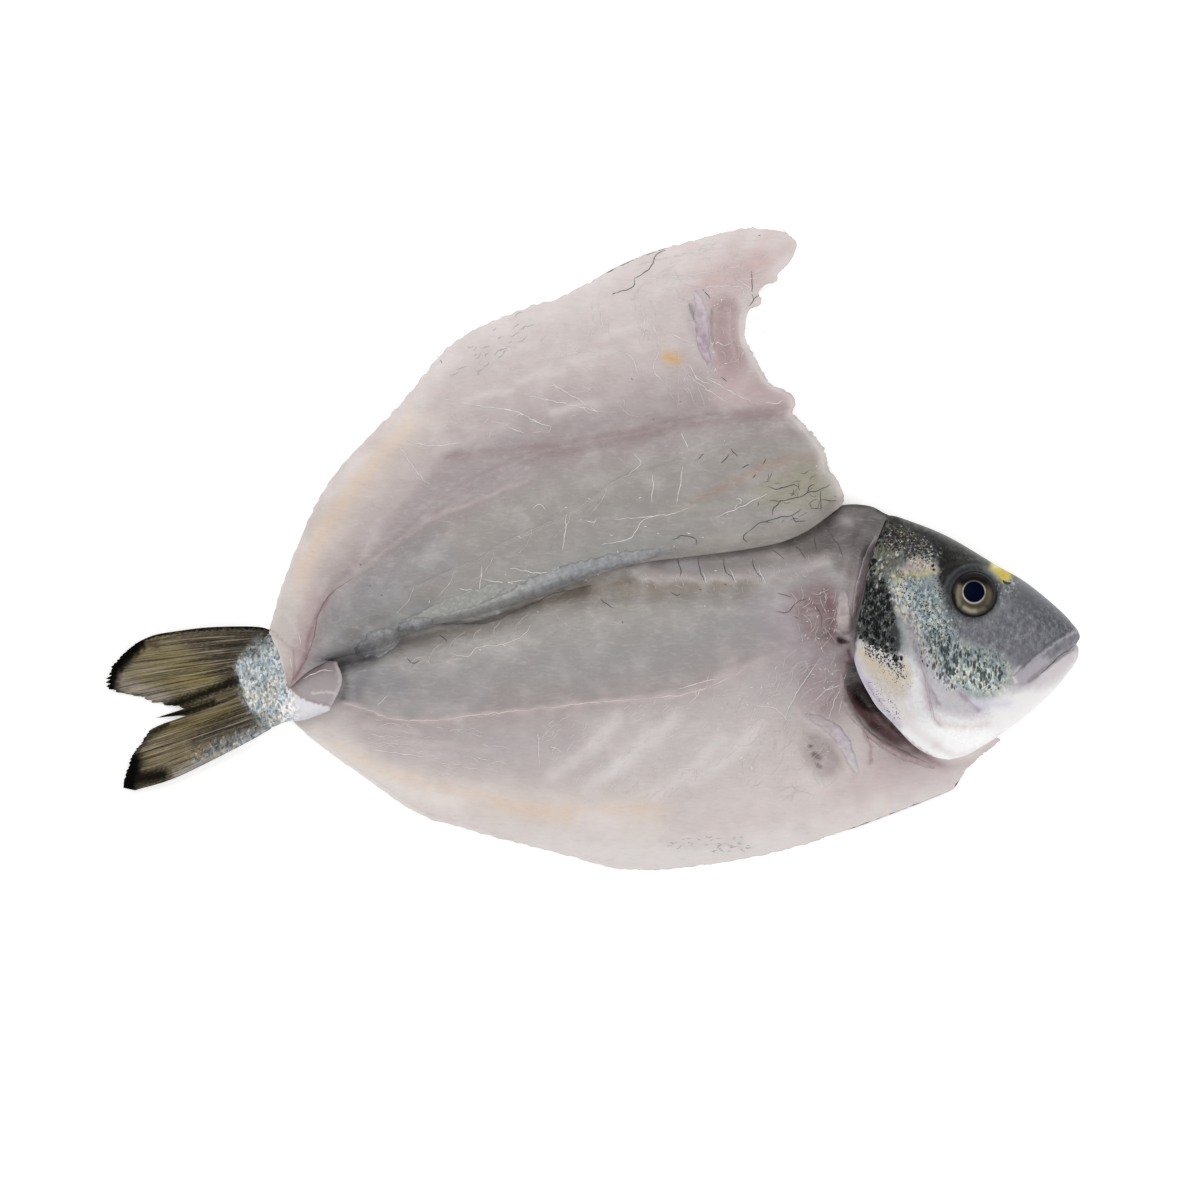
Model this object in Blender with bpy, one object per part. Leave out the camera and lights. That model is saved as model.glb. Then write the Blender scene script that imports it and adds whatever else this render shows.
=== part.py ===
"""A gilt-head sea bream, butterflied: cut through the belly, boned and folded open about its back.

Both fillets lie skin down with their cut faces up. The far fillet still carries the whole head, which lies
on its cheek, the near fillet is cut free behind the head, and both end at the uncut tail stalk and its fin.

Metres, +X from tail to snout, +Y from the far fillet to the near one, +Z up from the surface it lies on.
Points and heights are written in millimetres and turned to metres where the meshes are made.
"""

import math

import bmesh
import bpy
import numpy as np
from mathutils import Matrix

MM = 0.001

# Driving sizes, in millimetres.
HEAD_MIDDLE = 20.5  # height of the head's own middle plane above the table
HEAD_HALF = 20.5  # half of the head's greatest thickness
HEAD_RIM = 1.0  # half thickness left at the head's outline
FILLET_THICK = 17.0  # the loin behind the head
FLAP_EDGE = 2.2  # the least height of the cut face, along the fillets' edges
NAPE_RISE = 3.5  # the near fillet's free edge rides up this much over the far one
EDGE_CURL = 0.9  # the skin turns up this much along the belly edges
CURL_FROM = 0.93  # share of a fillet's width where that starts
FAR_LIFT = 0.2  # the far fillet's skin above the table
STALK_HALF = 5.2  # half of the tail stalk's thickness
STALK_RIM = 0.8
STALK_TAPER = 0.55  # share of the stalk's thickness lost towards the fin
FIN_THICK = 1.5
FIN_ROOT_SWELL = 1.2  # the fin's thickness gains this share at its root
FIN_ROOT_HEIGHT = 5.6
FIN_DROOP = 4.0  # from the stalk down to the table
FIN_CUP = 0.8  # the two lobes cup this much at their tips
FIN_RAYS = 15
FIN_RAY_HEIGHT = 0.35
EYE_RADIUS = 7.2
EYE_HALF_DEPTH = 4.2
EYE_PROUD = 1.9  # how far the eyeball stands out of the cheek
EYE_PROUD_UNDER = 0.4  # the under eye is pressed in by the weight of the head
EYE_TILT = 14  # degrees that each eye leans up towards the crown
EYE_CENTRE = (117.6, -14.0)
EYE_GAP = 0.3
GILL_LIP = 2.6  # thickness of the gill cover's free edge
GILL_REACH = 0.13  # how far the cavity runs in under the gill cover, as a share of the head
GILL_FROM = 0.13  # where it starts from the throat, as a share of the head's depth
GILL_SPAN = 0.59  # its run from there
GILL_MOUTH = 0.17  # share of the gill cutter that stays outside the head
GILL_MOUTH_OFFSET = (-9.0, -6.0)
GILL_FLOOR = 16.66  # the cavity's floor, just under the loin's top
SMALLEST_EDGE = 0.04  # corners nearer than this become one
TRIANGLES = 11400  # of the finished fish
SHARP_ANGLE = 40  # degrees: an edge that turns more is drawn sharp

# Grid cells along and across each slab.
FAR_CELLS, NEAR_CELLS, STALK_CELLS = (62, 44), (62, 40), (16, 16)
FIN_CELLS, HEAD_CELLS, GILL_CELLS = (16, 60), (40, 36), (5, 17)
EYE_CELLS = (24, 12)

# Where the finishes change, in millimetres.
FIN_FROM, STALK_FROM, CHEEK_FROM, SNOUT_FROM = -112, -98, 95, 116

# The near fillet, from the tail on: its inner edge lies along the back, its outer one is the slit belly.
NEAR_INNER = [
    (-92.0, -43.6), (-76.1, -34.1), (-63.7, -30.4), (-56.0, -25.8), (-22.1, -16.2), (2.6, -7.6),
    (15.0, -4.2), (48.9, 0.2), (64.3, 4.5), (77.6, 13.7),
]
NEAR_OUTER = [
    (-96.5, -41.0), (-99.2, -24.8), (-92.1, -1.7), (-80.7, 21.4), (-59.1, 44.9), (-42.1, 64.3),
    (-19.0, 75.1), (-9.7, 77.9), (15.0, 90.3), (43.0, 98.4), (53.5, 99.1), (60.0, 98.0),
]
NEAR_FRONT = [
    (77.6, 13.7), (73.0, 26.7), (62.8, 44.6), (51.1, 56.9), (47.7, 66.8), (52.0, 79.5), (61.3, 88.7),
    (63.2, 93.2), (60.0, 98.0),
]

# The far fillet: its inner edge runs on under the near one, its front under the head.
FAR_INNER = [
    (-94.0, -43.0), (-75.0, -30.5), (-50.0, -20.0), (-20.0, -10.0), (14.0, 0.5), (50.0, 5.0), (74.0, 13.0),
    (85.0, 13.6), (91.5, 10.6),
]
FAR_OUTER = [
    (-96.0, -48.0), (-86.9, -57.9), (-56.0, -80.1), (-40.6, -85.9), (-9.7, -94.0), (10.0, -98.8),
    (33.5, -97.6), (64.3, -91.5), (107.5, -75.8), (113.0, -72.0), (117.0, -66.6), (126.5, -58.8),
]
FAR_FRONT = [(91.5, 10.6), (96.0, -10.0), (103.0, -30.0), (112.0, -46.0), (120.0, -54.0), (126.5, -58.8)]

# The head, seen from its side: the gill cover's edge from throat to nape, then crown, chin and lips.
HEAD_REAR = [
    (111.6, -65.0), (99.2, -60.3), (86.3, -46.1), (80.7, -32.6), (83.5, -15.6), (86.6, -1.1), (91.2, 10.6),
]
HEAD_CROWN = [
    (91.2, 10.6), (95.5, 9.7), (109.4, 4.2), (124.2, -4.5), (134.1, -10.3), (144.6, -19.0), (149.8, -24.8),
]
HEAD_CHIN = [
    (111.6, -65.0), (116.2, -63.1), (127.5, -56.2), (135.0, -50.4), (142.6, -43.4), (148.2, -36.4),
]
HEAD_SNOUT = [
    (148.2, -36.4), (149.8, -33.2), (150.0, -30.4), (149.4, -29.2), (150.4, -27.0), (149.8, -24.8),
]

# The tail stalk, from its pointed cut end to the fin, and the fin from the stalk to its ragged tips.
STALK_UPPER = [
    (-77.5, -37.5), (-86.0, -34.5), (-93.0, -33.0), (-99.5, -29.0), (-107.0, -28.0), (-114.0, -31.0),
]
STALK_LOWER = [
    (-80.5, -47.5), (-88.5, -52.0), (-94.0, -53.2), (-101.0, -56.0), (-108.5, -59.0), (-114.0, -56.0),
]
FIN_UPPER = [
    (-98.5, -25.0), (-104.0, -23.8), (-129.5, -25.4), (-138.0, -27.2), (-147.6, -34.0), (-150.3, -41.3),
]
FIN_LOWER = [(-99.0, -55.4), (-107.5, -60.2), (-128.0, -70.3), (-145.2, -74.4)]
FIN_BASE = [(-98.5, -25.0), (-96.5, -34.0), (-97.0, -46.0), (-99.0, -55.4)]
FIN_TIPS = [
    (-150.3, -41.3), (-148.2, -43.6), (-142.5, -44.8), (-134.4, -47.6), (-130.0, -49.4), (-128.8, -51.6),
    (-129.9, -54.8), (-135.0, -58.2), (-142.6, -64.6), (-145.0, -70.2), (-145.2, -74.4),
]

# Ridges (+) and furrows (-) of the cut face: line, half width, height.
BACK_FURROW = [
    (-92.0, -42.0), (-80.0, -36.5), (-62.0, -28.5), (-40.0, -22.5), (-22.0, -17.0), (-4.0, -11.5),
]
BACK_ROPE = [(-55.0, -24.0), (-37.5, -19.0), (-20.0, -13.8), (-5.0, -8.6), (9.0, -5.0), (16.0, -3.4)]
BACK_LUMP = [(-66.0, -27.5), (-62.0, -25.5)]
NEAR_SEPTUM = [
    (-87.0, -36.5), (-79.0, -11.5), (-67.0, -2.5), (-55.0, 7.3), (-40.5, 18.4), (-25.5, 26.0), (-8.0, 32.0),
    (16.0, 36.0), (28.0, 39.5), (46.0, 41.2), (62.0, 43.0),
]
FAR_SEPTUM = [
    (-80.5, -46.5), (-68.5, -51.4), (-50.0, -52.6), (-28.0, -50.5), (-10.0, -48.6), (9.0, -45.8),
    (27.0, -42.7), (39.5, -37.8), (52.0, -33.0),
]
FIN_BONE_BAND = [(14.0, -8.5), (30.0, -8.8), (46.0, -7.6), (62.0, -5.4), (76.0, -2.2), (88.0, 2.0)]
COLLAR_BONE = [(84.0, 4.0), (82.0, -6.0), (80.5, -14.0), (79.0, -24.0)]
NEAR_POCKET = [(42.0, 74.0), (42.5, 66.0), (44.5, 58.0)]
NEAR_POCKET_LIP = [(34.5, 75.0), (36.5, 67.0), (38.5, 59.0)]
FAR_POCKET = [(71.0, -59.5), (73.0, -65.0)]
FAR_POCKET_LIP = [(65.0, -52.0), (73.5, -58.5), (79.5, -69.0)]
THROAT_HOLLOW = [(83.5, -45.0), (90.0, -54.0), (97.5, -60.0)]
FLESH_RELIEF = [
    (BACK_FURROW, 2.4, -2.2),
    (BACK_ROPE, 2.6, 2.4),
    (BACK_LUMP, 3.2, 2.8),
    (NEAR_SEPTUM, 1.6, -0.8),
    (FAR_SEPTUM, 1.4, -0.9),
    (FIN_BONE_BAND, 3.0, 1.5),
    (COLLAR_BONE, 2.4, 2.2),
    (NEAR_POCKET, 3.0, -2.6),
    (NEAR_POCKET_LIP, 1.8, 1.4),
    (FAR_POCKET, 4.0, -1.8),
    (FAR_POCKET_LIP, 2.0, 1.8),
    (THROAT_HOLLOW, 4.0, -5.0),
]

# The same on the head: line, half width, height, on the upper cheek only.
MOUTH = [(152.0, -29.5), (147.5, -30.8), (141.0, -35.4), (134.6, -40.4)]
UPPER_LIP = [(149.0, -26.6), (143.0, -30.6), (136.0, -35.6), (131.0, -39.4)]
PREOPERCLE = [(96.1, -20.5), (101.4, -33.8), (104.5, -45.2), (106.0, -52.0), (113.4, -57.9)]
CHEEK_RIM = [(101.5, -20.5), (109.4, -36.0), (117.0, -44.8), (127.0, -42.0)]
EYE_BROW = [(108.5, -9.5), (113.0, -5.4), (119.0, -4.6), (125.5, -9.0)]
NOSTRIL = [(127.6, -10.4), (129.2, -9.8)]
HEAD_RELIEF = [
    (MOUTH, 1.0, -1.8),
    (UPPER_LIP, 1.9, 1.0),
    (PREOPERCLE, 1.3, -0.9),
    (CHEEK_RIM, 1.4, -0.5),
    (EYE_BROW, 1.6, 0.7),
    (NOSTRIL, 0.9, -1.2),
]


def curve_through(points, steps=24):
    """A smooth line through the points, as a function of the share of its length that has been run."""
    p = np.array(points, float)
    p = np.vstack([2 * p[0] - p[1], p, 2 * p[-1] - p[-2]])
    t = np.linspace(0, 1, steps, endpoint=False)[:, None]
    spans = []
    for a, b, c, d in zip(p, p[1:], p[2:], p[3:]):
        bend, twist = 2 * a - 5 * b + 4 * c - d, 3 * b - a - 3 * c + d
        spans.append(b + 0.5 * ((c - a) * t + bend * t**2 + twist * t**3))
    line = np.vstack([*spans, p[-2:-1]])
    run = np.concatenate([[0], np.cumsum(np.linalg.norm(np.diff(line, axis=0), axis=1))])
    return lambda s: np.stack([np.interp(s, run / run[-1], line[:, k]) for k in (0, 1)], axis=-1)


def smooth_value(places, values):
    """A smooth function of one number that takes these values at these places."""
    line = curve_through(list(zip(places, values)))(np.linspace(0, 1, 200))
    return lambda x: np.interp(x, line[:, 0], line[:, 1])


def patch(side_a, side_b, start, end, s, t, start_reach=4.0, end_reach=4.0):
    """Points of a sheet between two long sides, whose ends bow out to the start and end lines."""
    s, t = s[:, None], t[:, None]
    points = side_a(s[:, 0]) * (1 - t) + side_b(s[:, 0]) * t
    for line, share, reach in ((start, 1 - s, start_reach), (end, s, end_reach)):
        if line is None:
            continue
        at = 1 if line is end else 0
        straight = side_a(at) * (1 - t) + side_b(at) * t
        points = points + share**reach * (line(t[:, 0]) - straight)
    return points


def line_distance(points, line):
    """How far each point is from a smooth line."""
    spots = curve_through(line)(np.linspace(0, 1, 80))
    return np.sqrt(((points[:, None, :] - spots[None]) ** 2).sum(2)).min(1)


def relief(points, lines):
    """Height that ridges and furrows add at each point."""
    return sum(
        height * np.exp(-((line_distance(points, line) / width) ** 2)) for line, width, height in lines
    )


near_inner, near_outer, near_front = map(curve_through, (NEAR_INNER, NEAR_OUTER, NEAR_FRONT))
far_inner, far_outer, far_front = map(curve_through, (FAR_INNER, FAR_OUTER, FAR_FRONT))
head_rear, head_crown, head_chin, head_snout = map(
    curve_through, (HEAD_REAR, HEAD_CROWN, HEAD_CHIN, HEAD_SNOUT)
)
stalk_upper, stalk_lower = map(curve_through, (STALK_UPPER, STALK_LOWER))
fin_upper, fin_lower, fin_base, fin_tips = map(curve_through, (FIN_UPPER, FIN_LOWER, FIN_BASE, FIN_TIPS))

# Shares of FILLET_THICK: along the fillets from tail to head, and across them from back to belly.
near_length = smooth_value([0, 0.1, 0.3, 0.6, 0.85, 1], [0.50, 0.60, 0.80, 0.96, 1.0, 0.88])
near_across = smooth_value(
    [0, 0.05, 0.14, 0.26, 0.38, 0.5, 0.65, 0.82, 0.94, 1],
    [0.55, 0.78, 0.93, 1.0, 0.88, 0.66, 0.43, 0.30, 0.22, 0.12],
)
far_length = smooth_value([0, 0.1, 0.3, 0.6, 0.85, 1], [0.45, 0.55, 0.76, 0.92, 1.0, 0.98])
far_across = smooth_value(
    [0, 0.06, 0.12, 0.2, 0.31, 0.42, 0.52, 0.66, 0.82, 0.94, 1],
    [0.30, 0.50, 0.68, 0.90, 1.0, 0.92, 0.72, 0.48, 0.33, 0.23, 0.12],
)
# Shares of HEAD_HALF from the gill cover's edge to the lips.
head_length = smooth_value(
    [0, 0.04, 0.12, 0.28, 0.45, 0.6, 0.75, 0.88, 0.96, 1],
    [0.38, 0.60, 0.84, 1.0, 0.98, 0.88, 0.70, 0.50, 0.38, 0.24],
)


def near_plan(s, t):
    return patch(near_inner, near_outer, None, near_front, s, t)


def near_top(s, t, points):
    loin = FILLET_THICK * near_length(s) * near_across(t)
    rise = NAPE_RISE * s**3 * (1 - t) ** 2
    return np.maximum(loin + rise + relief(points, FLESH_RELIEF), FLAP_EDGE)


def far_plan(s, t):
    return patch(far_inner, far_outer, None, far_front, s, t, end_reach=6.0)


def far_top(s, t, points):
    loin = FILLET_THICK * far_length(s) * far_across(t)
    return np.maximum(loin + relief(points, FLESH_RELIEF), FLAP_EDGE)


def fillet_bottom(lift):
    """The skin side: flat where it rests, turned up a little along its edges."""

    def bottom(s, t, points):
        return lift + EDGE_CURL * np.clip((t - CURL_FROM) / (1 - CURL_FROM), 0, 1) ** 2

    return bottom


def head_plan(s, t):
    return patch(head_chin, head_crown, head_rear, head_snout, s, t, start_reach=3.0, end_reach=5.0)


def head_half(s, t):
    """Half of the head's thickness: a super-ellipse, squarer towards the crown than towards the chin."""
    off = 2 * t - 1
    crown_side = (1 - np.abs(off) ** 3.2) ** (1 / 3.0)
    chin_side = (1 - np.abs(off) ** 2.4) ** (1 / 1.9)
    return HEAD_RIM + (HEAD_HALF - HEAD_RIM) * head_length(s) * np.where(off > 0, crown_side, chin_side)


def head_top(s, t, points):
    return HEAD_MIDDLE + head_half(s, t) + relief(points, HEAD_RELIEF)


def head_bottom(s, t, points):
    return np.maximum(HEAD_MIDDLE - head_half(s, t), 0.0)


def stalk_plan(s, t):
    return patch(stalk_upper, stalk_lower, None, None, s, t)


def stalk_half(s, t):
    section = (1 - np.abs(2 * t - 1) ** 2.4) ** 0.5
    return STALK_RIM + (STALK_HALF - STALK_RIM) * section * (1 - STALK_TAPER * s**2)


def stalk_middle(s):
    """Height of the stalk's middle, which rises towards the cut end."""
    return 0.2 + STALK_HALF + 1.4 * (1 - s) ** 2


def stalk_top(s, t, points):
    return stalk_middle(s) + stalk_half(s, t)


def stalk_bottom(s, t, points):
    return stalk_middle(s) - stalk_half(s, t)


def fin_plan(s, t):
    return patch(fin_base, fin_tips, fin_upper, fin_lower, t, s, start_reach=3.0, end_reach=3.0)


def fin_middle(s, t):
    """Height of the fin's sheet: it droops from the stalk to the table, and the two lobes cup a little."""
    return FIN_ROOT_HEIGHT - FIN_DROOP * s**1.4 + FIN_CUP * np.cos(math.tau * t) * s


def fin_half(s):
    return FIN_THICK / 2 * (1 + FIN_ROOT_SWELL * (1 - s) ** 4)


def fin_top(s, t, points):
    rays = FIN_RAY_HEIGHT * np.cos(math.tau * FIN_RAYS * t) * (1 - s) ** 0.3
    return fin_middle(s, t) + fin_half(s) + rays


def fin_bottom(s, t, points):
    return fin_middle(s, t) - fin_half(s)


def even(share):
    return share


def crowded_at_ends(share):
    return 0.3 * share + 0.35 * (1 - np.cos(math.pi * share))


def make_slab(name, collection, cells, plan, top, bottom, spread=(even, even)):
    """A grid drawn out to a closed slab, whose corners then go where plan, top and bottom say."""
    mesh = bmesh.new()
    bmesh.ops.create_grid(mesh, x_segments=cells[0], y_segments=cells[1], size=0.5)
    lower = list(mesh.verts)
    drawn = bmesh.ops.extrude_face_region(mesh, geom=list(mesh.faces), use_keep_orig=True)
    upper = [v for v in drawn["geom"] if isinstance(v, bmesh.types.BMVert)]
    for corners, height in ((lower, bottom), (upper, top)):
        s = spread[0](np.array([v.co.x + 0.5 for v in corners]).clip(0, 1))
        t = spread[1](np.array([v.co.y + 0.5 for v in corners]).clip(0, 1))
        points = plan(s, t)
        for v, (x, y), z in zip(corners, points, height(s, t, points)):
            v.co = (x * MM, y * MM, z * MM)
    bmesh.ops.recalc_face_normals(mesh, faces=mesh.faces)
    return finish_mesh(name, mesh, collection)


def finish_mesh(name, mesh, collection):
    data = bpy.data.meshes.new(name)
    mesh.to_mesh(data)
    mesh.free()
    obj = bpy.data.objects.new(name, data)
    collection.objects.link(obj)
    return obj


def make_collection(name):
    collection = bpy.data.collections.new(name)
    bpy.context.scene.collection.children.link(collection)
    return collection


def make_material(name, colour, roughness):
    material = bpy.data.materials.new(name)
    material.use_nodes = True
    shader = material.node_tree.nodes["Principled BSDF"]
    shader.inputs["Base Color"].default_value = (*colour, 1)
    shader.inputs["Roughness"].default_value = roughness
    material.diffuse_color = (*colour, 1)
    return material


def head_surface_at(place):
    """Half thickness of the head over a point of its side view."""
    shares = np.linspace(0, 1, 90)
    s, t = (g.ravel() for g in np.meshgrid(shares, shares))
    nearest = ((head_plan(s, t) - np.array(place)) ** 2).sum(1).argmin()
    return float(head_half(s[nearest : nearest + 1], t[nearest : nearest + 1])[0])


def make_eye(name, collection, side, grow=0.0):
    """A flattened eyeball sunk in the cheek, on the upper side (1) or the under side (-1)."""
    mesh = bmesh.new()
    bmesh.ops.create_uvsphere(mesh, u_segments=EYE_CELLS[0], v_segments=EYE_CELLS[1], radius=1)
    radius, depth = (EYE_RADIUS + grow) * MM, (EYE_HALF_DEPTH + grow) * MM
    if side > 0:
        height = HEAD_MIDDLE + head_surface_at(EYE_CENTRE) + EYE_PROUD - EYE_HALF_DEPTH
    else:
        height = max(HEAD_MIDDLE - head_surface_at(EYE_CENTRE), 0) - EYE_PROUD_UNDER + EYE_HALF_DEPTH
    place = Matrix.Translation((EYE_CENTRE[0] * MM, EYE_CENTRE[1] * MM, height * MM))
    lean = Matrix.Rotation(math.radians(-side * EYE_TILT), 4, "X")
    mesh.transform(place @ lean @ Matrix.Diagonal((radius, radius, depth, 1)))
    return finish_mesh(name, mesh, collection)


def make_gill_cavity(collection):
    """The gap under the gill cover's free edge, above the fillet's collar, shallower towards its ends."""
    def on_head(s, t):
        depth = np.clip((s - GILL_MOUTH) / (1 - GILL_MOUTH), 0, 1)
        return GILL_REACH * depth * np.sin(math.pi * t) ** 0.6, GILL_FROM + GILL_SPAN * t

    def plan(s, t):
        outside = np.clip(1 - s / (GILL_MOUTH + 0.02), 0, 1)[:, None]
        return head_plan(*on_head(s, t)) + np.array(GILL_MOUTH_OFFSET) * outside

    def top(s, t, points):
        return head_top(*on_head(s, t), points) - GILL_LIP

    def bottom(s, t, points):
        return np.full(len(s), GILL_FLOOR)

    return make_slab("gill_cavity", collection, GILL_CELLS, plan, top, bottom)


def apply_modifiers(obj):
    """Puts the object's evaluated mesh in place of its modifiers."""
    graph = bpy.context.evaluated_depsgraph_get()
    data = bpy.data.meshes.new_from_object(obj.evaluated_get(graph))
    obj.modifiers.clear()
    obj.data = data


def boolean(obj, operation, collection):
    modifier = obj.modifiers.new(operation.lower(), "BOOLEAN")
    modifier.operation = operation
    modifier.operand_type = "COLLECTION"
    modifier.collection = collection
    modifier.solver = "EXACT"
    apply_modifiers(obj)


def colour_faces(obj, flesh, skin, fin):
    """Flesh on the cut faces, skin on the head, stalk and undersides, and the fin's own finish."""
    for material in (flesh, skin, fin):
        obj.data.materials.append(material)
    for face in obj.data.polygons:
        x, y, z = (value / MM for value in face.center)
        on_head = x > CHEEK_FROM and z > FILLET_THICK + 1 or x > SNOUT_FROM
        underneath = face.normal.z < -0.3
        skinned = on_head or underneath or x < STALK_FROM
        face.material_index = 2 if x < FIN_FROM else 1 if skinned else 0


def build():
    for obj in list(bpy.data.objects):
        bpy.data.objects.remove(obj)
    fish_parts = make_collection("butterflied_sea_bream")
    joined = make_collection("joined_shapes")
    sockets = make_collection("cutters")

    to_rim = (crowded_at_ends, crowded_at_ends)
    fish = make_slab("fish", fish_parts, FAR_CELLS, far_plan, far_top, fillet_bottom(FAR_LIFT))
    make_slab("near_fillet", joined, NEAR_CELLS, near_plan, near_top, fillet_bottom(0.0))
    to_sides = (even, crowded_at_ends)
    make_slab("tail_stalk", joined, STALK_CELLS, stalk_plan, stalk_top, stalk_bottom, to_sides)
    make_slab("tail_fin", joined, FIN_CELLS, fin_plan, fin_top, fin_bottom)
    head = make_slab("head", joined, HEAD_CELLS, head_plan, head_top, head_bottom, to_rim)
    cavity = make_collection("gill_cutter")
    make_gill_cavity(cavity)
    boolean(head, "DIFFERENCE", cavity)
    boolean(fish, "UNION", joined)
    make_eye("upper_socket", sockets, 1, EYE_GAP)
    make_eye("under_socket", sockets, -1, EYE_GAP)
    boolean(fish, "DIFFERENCE", sockets)
    for helpers in (joined, sockets, cavity):
        for obj in list(helpers.objects):
            bpy.data.objects.remove(obj)
        bpy.data.collections.remove(helpers)

    weld = fish.modifiers.new("weld", "WELD")
    weld.merge_threshold = SMALLEST_EDGE * MM
    apply_modifiers(fish)
    triangles = sum(len(face.vertices) - 2 for face in fish.data.polygons)
    thinner = fish.modifiers.new("thinner", "DECIMATE")
    thinner.ratio = min(1.0, TRIANGLES / triangles)
    apply_modifiers(fish)

    flesh = make_material("raw_flesh", (0.55, 0.49, 0.47), 0.35)
    skin = make_material("silver_skin", (0.38, 0.40, 0.41), 0.3)
    fin = make_material("fin", (0.12, 0.10, 0.07), 0.5)
    colour_faces(fish, flesh, skin, fin)
    eyeball = make_material("eyeball", (0.01, 0.012, 0.03), 0.08)
    for name, side in (("eye_upper", 1), ("eye_under", -1)):
        eye = make_eye(name, fish_parts, side)
        eye.data.materials.append(eyeball)
        eye.data.shade_smooth()
    fish.data.shade_smooth()
    fish.data.set_sharp_from_angle(angle=math.radians(SHARP_ANGLE))


build()
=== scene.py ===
"""Looks of a butterflied gilt-head sea bream: raw flesh, silver skin, head, eyes and tail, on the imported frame.

Lengths are in millimetres and MM turns them to metres. +X runs from tail to snout and +Z up from the table. +Y
runs towards the near fillet, which is turned over and cut free of the head; the far one is still joined to it.
Lines are named for the part of the fish that they follow.
"""

import math

import bpy
import numpy as np
from mathutils import Matrix, Vector
from mathutils.bvhtree import BVHTree


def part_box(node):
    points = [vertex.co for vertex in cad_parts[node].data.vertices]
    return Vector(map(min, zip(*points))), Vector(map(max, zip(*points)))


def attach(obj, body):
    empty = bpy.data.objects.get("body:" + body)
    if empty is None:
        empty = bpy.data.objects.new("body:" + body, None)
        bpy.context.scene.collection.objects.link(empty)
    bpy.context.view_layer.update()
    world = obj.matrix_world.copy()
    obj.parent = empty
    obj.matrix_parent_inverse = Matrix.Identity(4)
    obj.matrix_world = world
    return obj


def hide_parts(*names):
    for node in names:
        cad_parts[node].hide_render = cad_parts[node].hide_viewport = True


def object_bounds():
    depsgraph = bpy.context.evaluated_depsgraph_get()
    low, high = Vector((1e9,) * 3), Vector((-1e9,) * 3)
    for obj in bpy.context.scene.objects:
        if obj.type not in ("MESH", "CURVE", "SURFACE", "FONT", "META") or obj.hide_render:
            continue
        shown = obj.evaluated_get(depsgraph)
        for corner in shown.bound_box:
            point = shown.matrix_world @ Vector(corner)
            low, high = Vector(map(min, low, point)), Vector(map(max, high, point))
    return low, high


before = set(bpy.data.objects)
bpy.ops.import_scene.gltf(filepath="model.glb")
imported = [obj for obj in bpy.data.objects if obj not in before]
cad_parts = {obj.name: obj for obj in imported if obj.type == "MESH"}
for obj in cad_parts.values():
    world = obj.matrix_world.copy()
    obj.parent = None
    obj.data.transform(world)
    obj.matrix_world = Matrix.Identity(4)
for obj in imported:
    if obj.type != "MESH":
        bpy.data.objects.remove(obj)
cad_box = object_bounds()

MM = 0.001
STEPS = 9  # straight steps from point to point of a drawn line
FAR_OFF = 1000.0  # stands for any distance past the reach of a line
TINY = 1e-12  # keeps a division by nothing away

# ---------------------------------------------------------------- sizes and outlines

HEAD_MIDDLE = 20.5  # height of its middle plane over the table
HEAD_HALF = 20.5
HEAD_RIM = 1.0
FILLET_THICK = 17.0
SKIN_THICK = 0.5
FLAP_EDGE = 1.9  # the flesh is nowhere thinner
GILL_LIP = 2.6
GILL_REACH = 0.13  # of the length of the head
EYE_CENTRE = (117.6, -14.0)
EYE_RADIUS = 7.2
EYE_BULGE = 4.2
EYE_TURN = 14  # degrees
PUPIL_RADIUS = 3.28
STALK_MIDDLE = 5.4
STALK_RIM = 0.8
STALK_SWELL = 4.4
FIN_THICK = 1.1
FIN_RAYS = 17
BAND_SINK = 0.12

NEAR_INNER = [
    (-93, -42.6), (-86.4, -37), (-77, -33), (-63.7, -30.4), (-56, -25.8), (-22.1, -16.2), (2.6, -7.6),
    (15, -4.2), (48.9, 0.2), (64.3, 4.5), (77.6, 13.7),
]
NEAR_OUTER = [
    (-94, -41.6), (-95.9, -34.1), (-98.6, -27.3), (-99.2, -23.4), (-92.1, -1.7), (-80.7, 21.4),
    (-59.1, 44.9), (-42.1, 64.3), (-19, 75.1), (-9.7, 77.9), (15, 90.3), (43, 98.4), (53.5, 99.1), (60, 98),
]
NEAR_FRONT = [
    (77.6, 13.7), (77.4, 18), (75.6, 22.2), (73, 25.2), (71.8, 30.5), (68.9, 34.7), (65.4, 38.8),
    (62.2, 42.1), (62.9, 44.9), (61.3, 48.1), (56.4, 50.4), (53.4, 53.6), (50.6, 59), (48, 63.6),
    (47.4, 68.2), (48, 72.3), (49.4, 74.6), (52.3, 75.8), (51.6, 79.4), (53.5, 81.5), (57.1, 82.8),
    (57.6, 85.1), (60.9, 88.4), (63.2, 93), (62.8, 95.8), (60, 98),
]
FAR_INNER = [
    (-94, -43), (-75, -30.5), (-50, -20), (-20, -10), (14, 0.5), (50, 5), (74, 13), (85, 13.6),
    (91.5, 10.6),
]
FAR_OUTER = [
    (-96, -48), (-86.9, -57.9), (-56, -80.1), (-40.6, -85.9), (-9.7, -94), (10, -98.8), (33.5, -97.6),
    (64.3, -91.5), (107.5, -75.8), (113, -72), (117, -66.6), (126.5, -58.8),
]
FAR_FRONT = [(91.5, 10.6), (96, -10), (103, -30), (112, -46), (120, -54), (126.5, -58.8)]
HEAD_REAR = [
    (110, -64.8), (105, -63.7), (99.2, -60.3), (92.4, -53.2), (86.3, -46.1), (80.7, -32.6), (83.5, -15.6),
    (86.6, -1.1), (91.2, 10.6),
]
HEAD_CROWN = [
    (91.2, 10.6), (95.5, 9.7), (109.4, 4.2), (124.2, -4.5), (134.1, -10.3), (144.6, -19), (149.8, -24.8),
]
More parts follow.
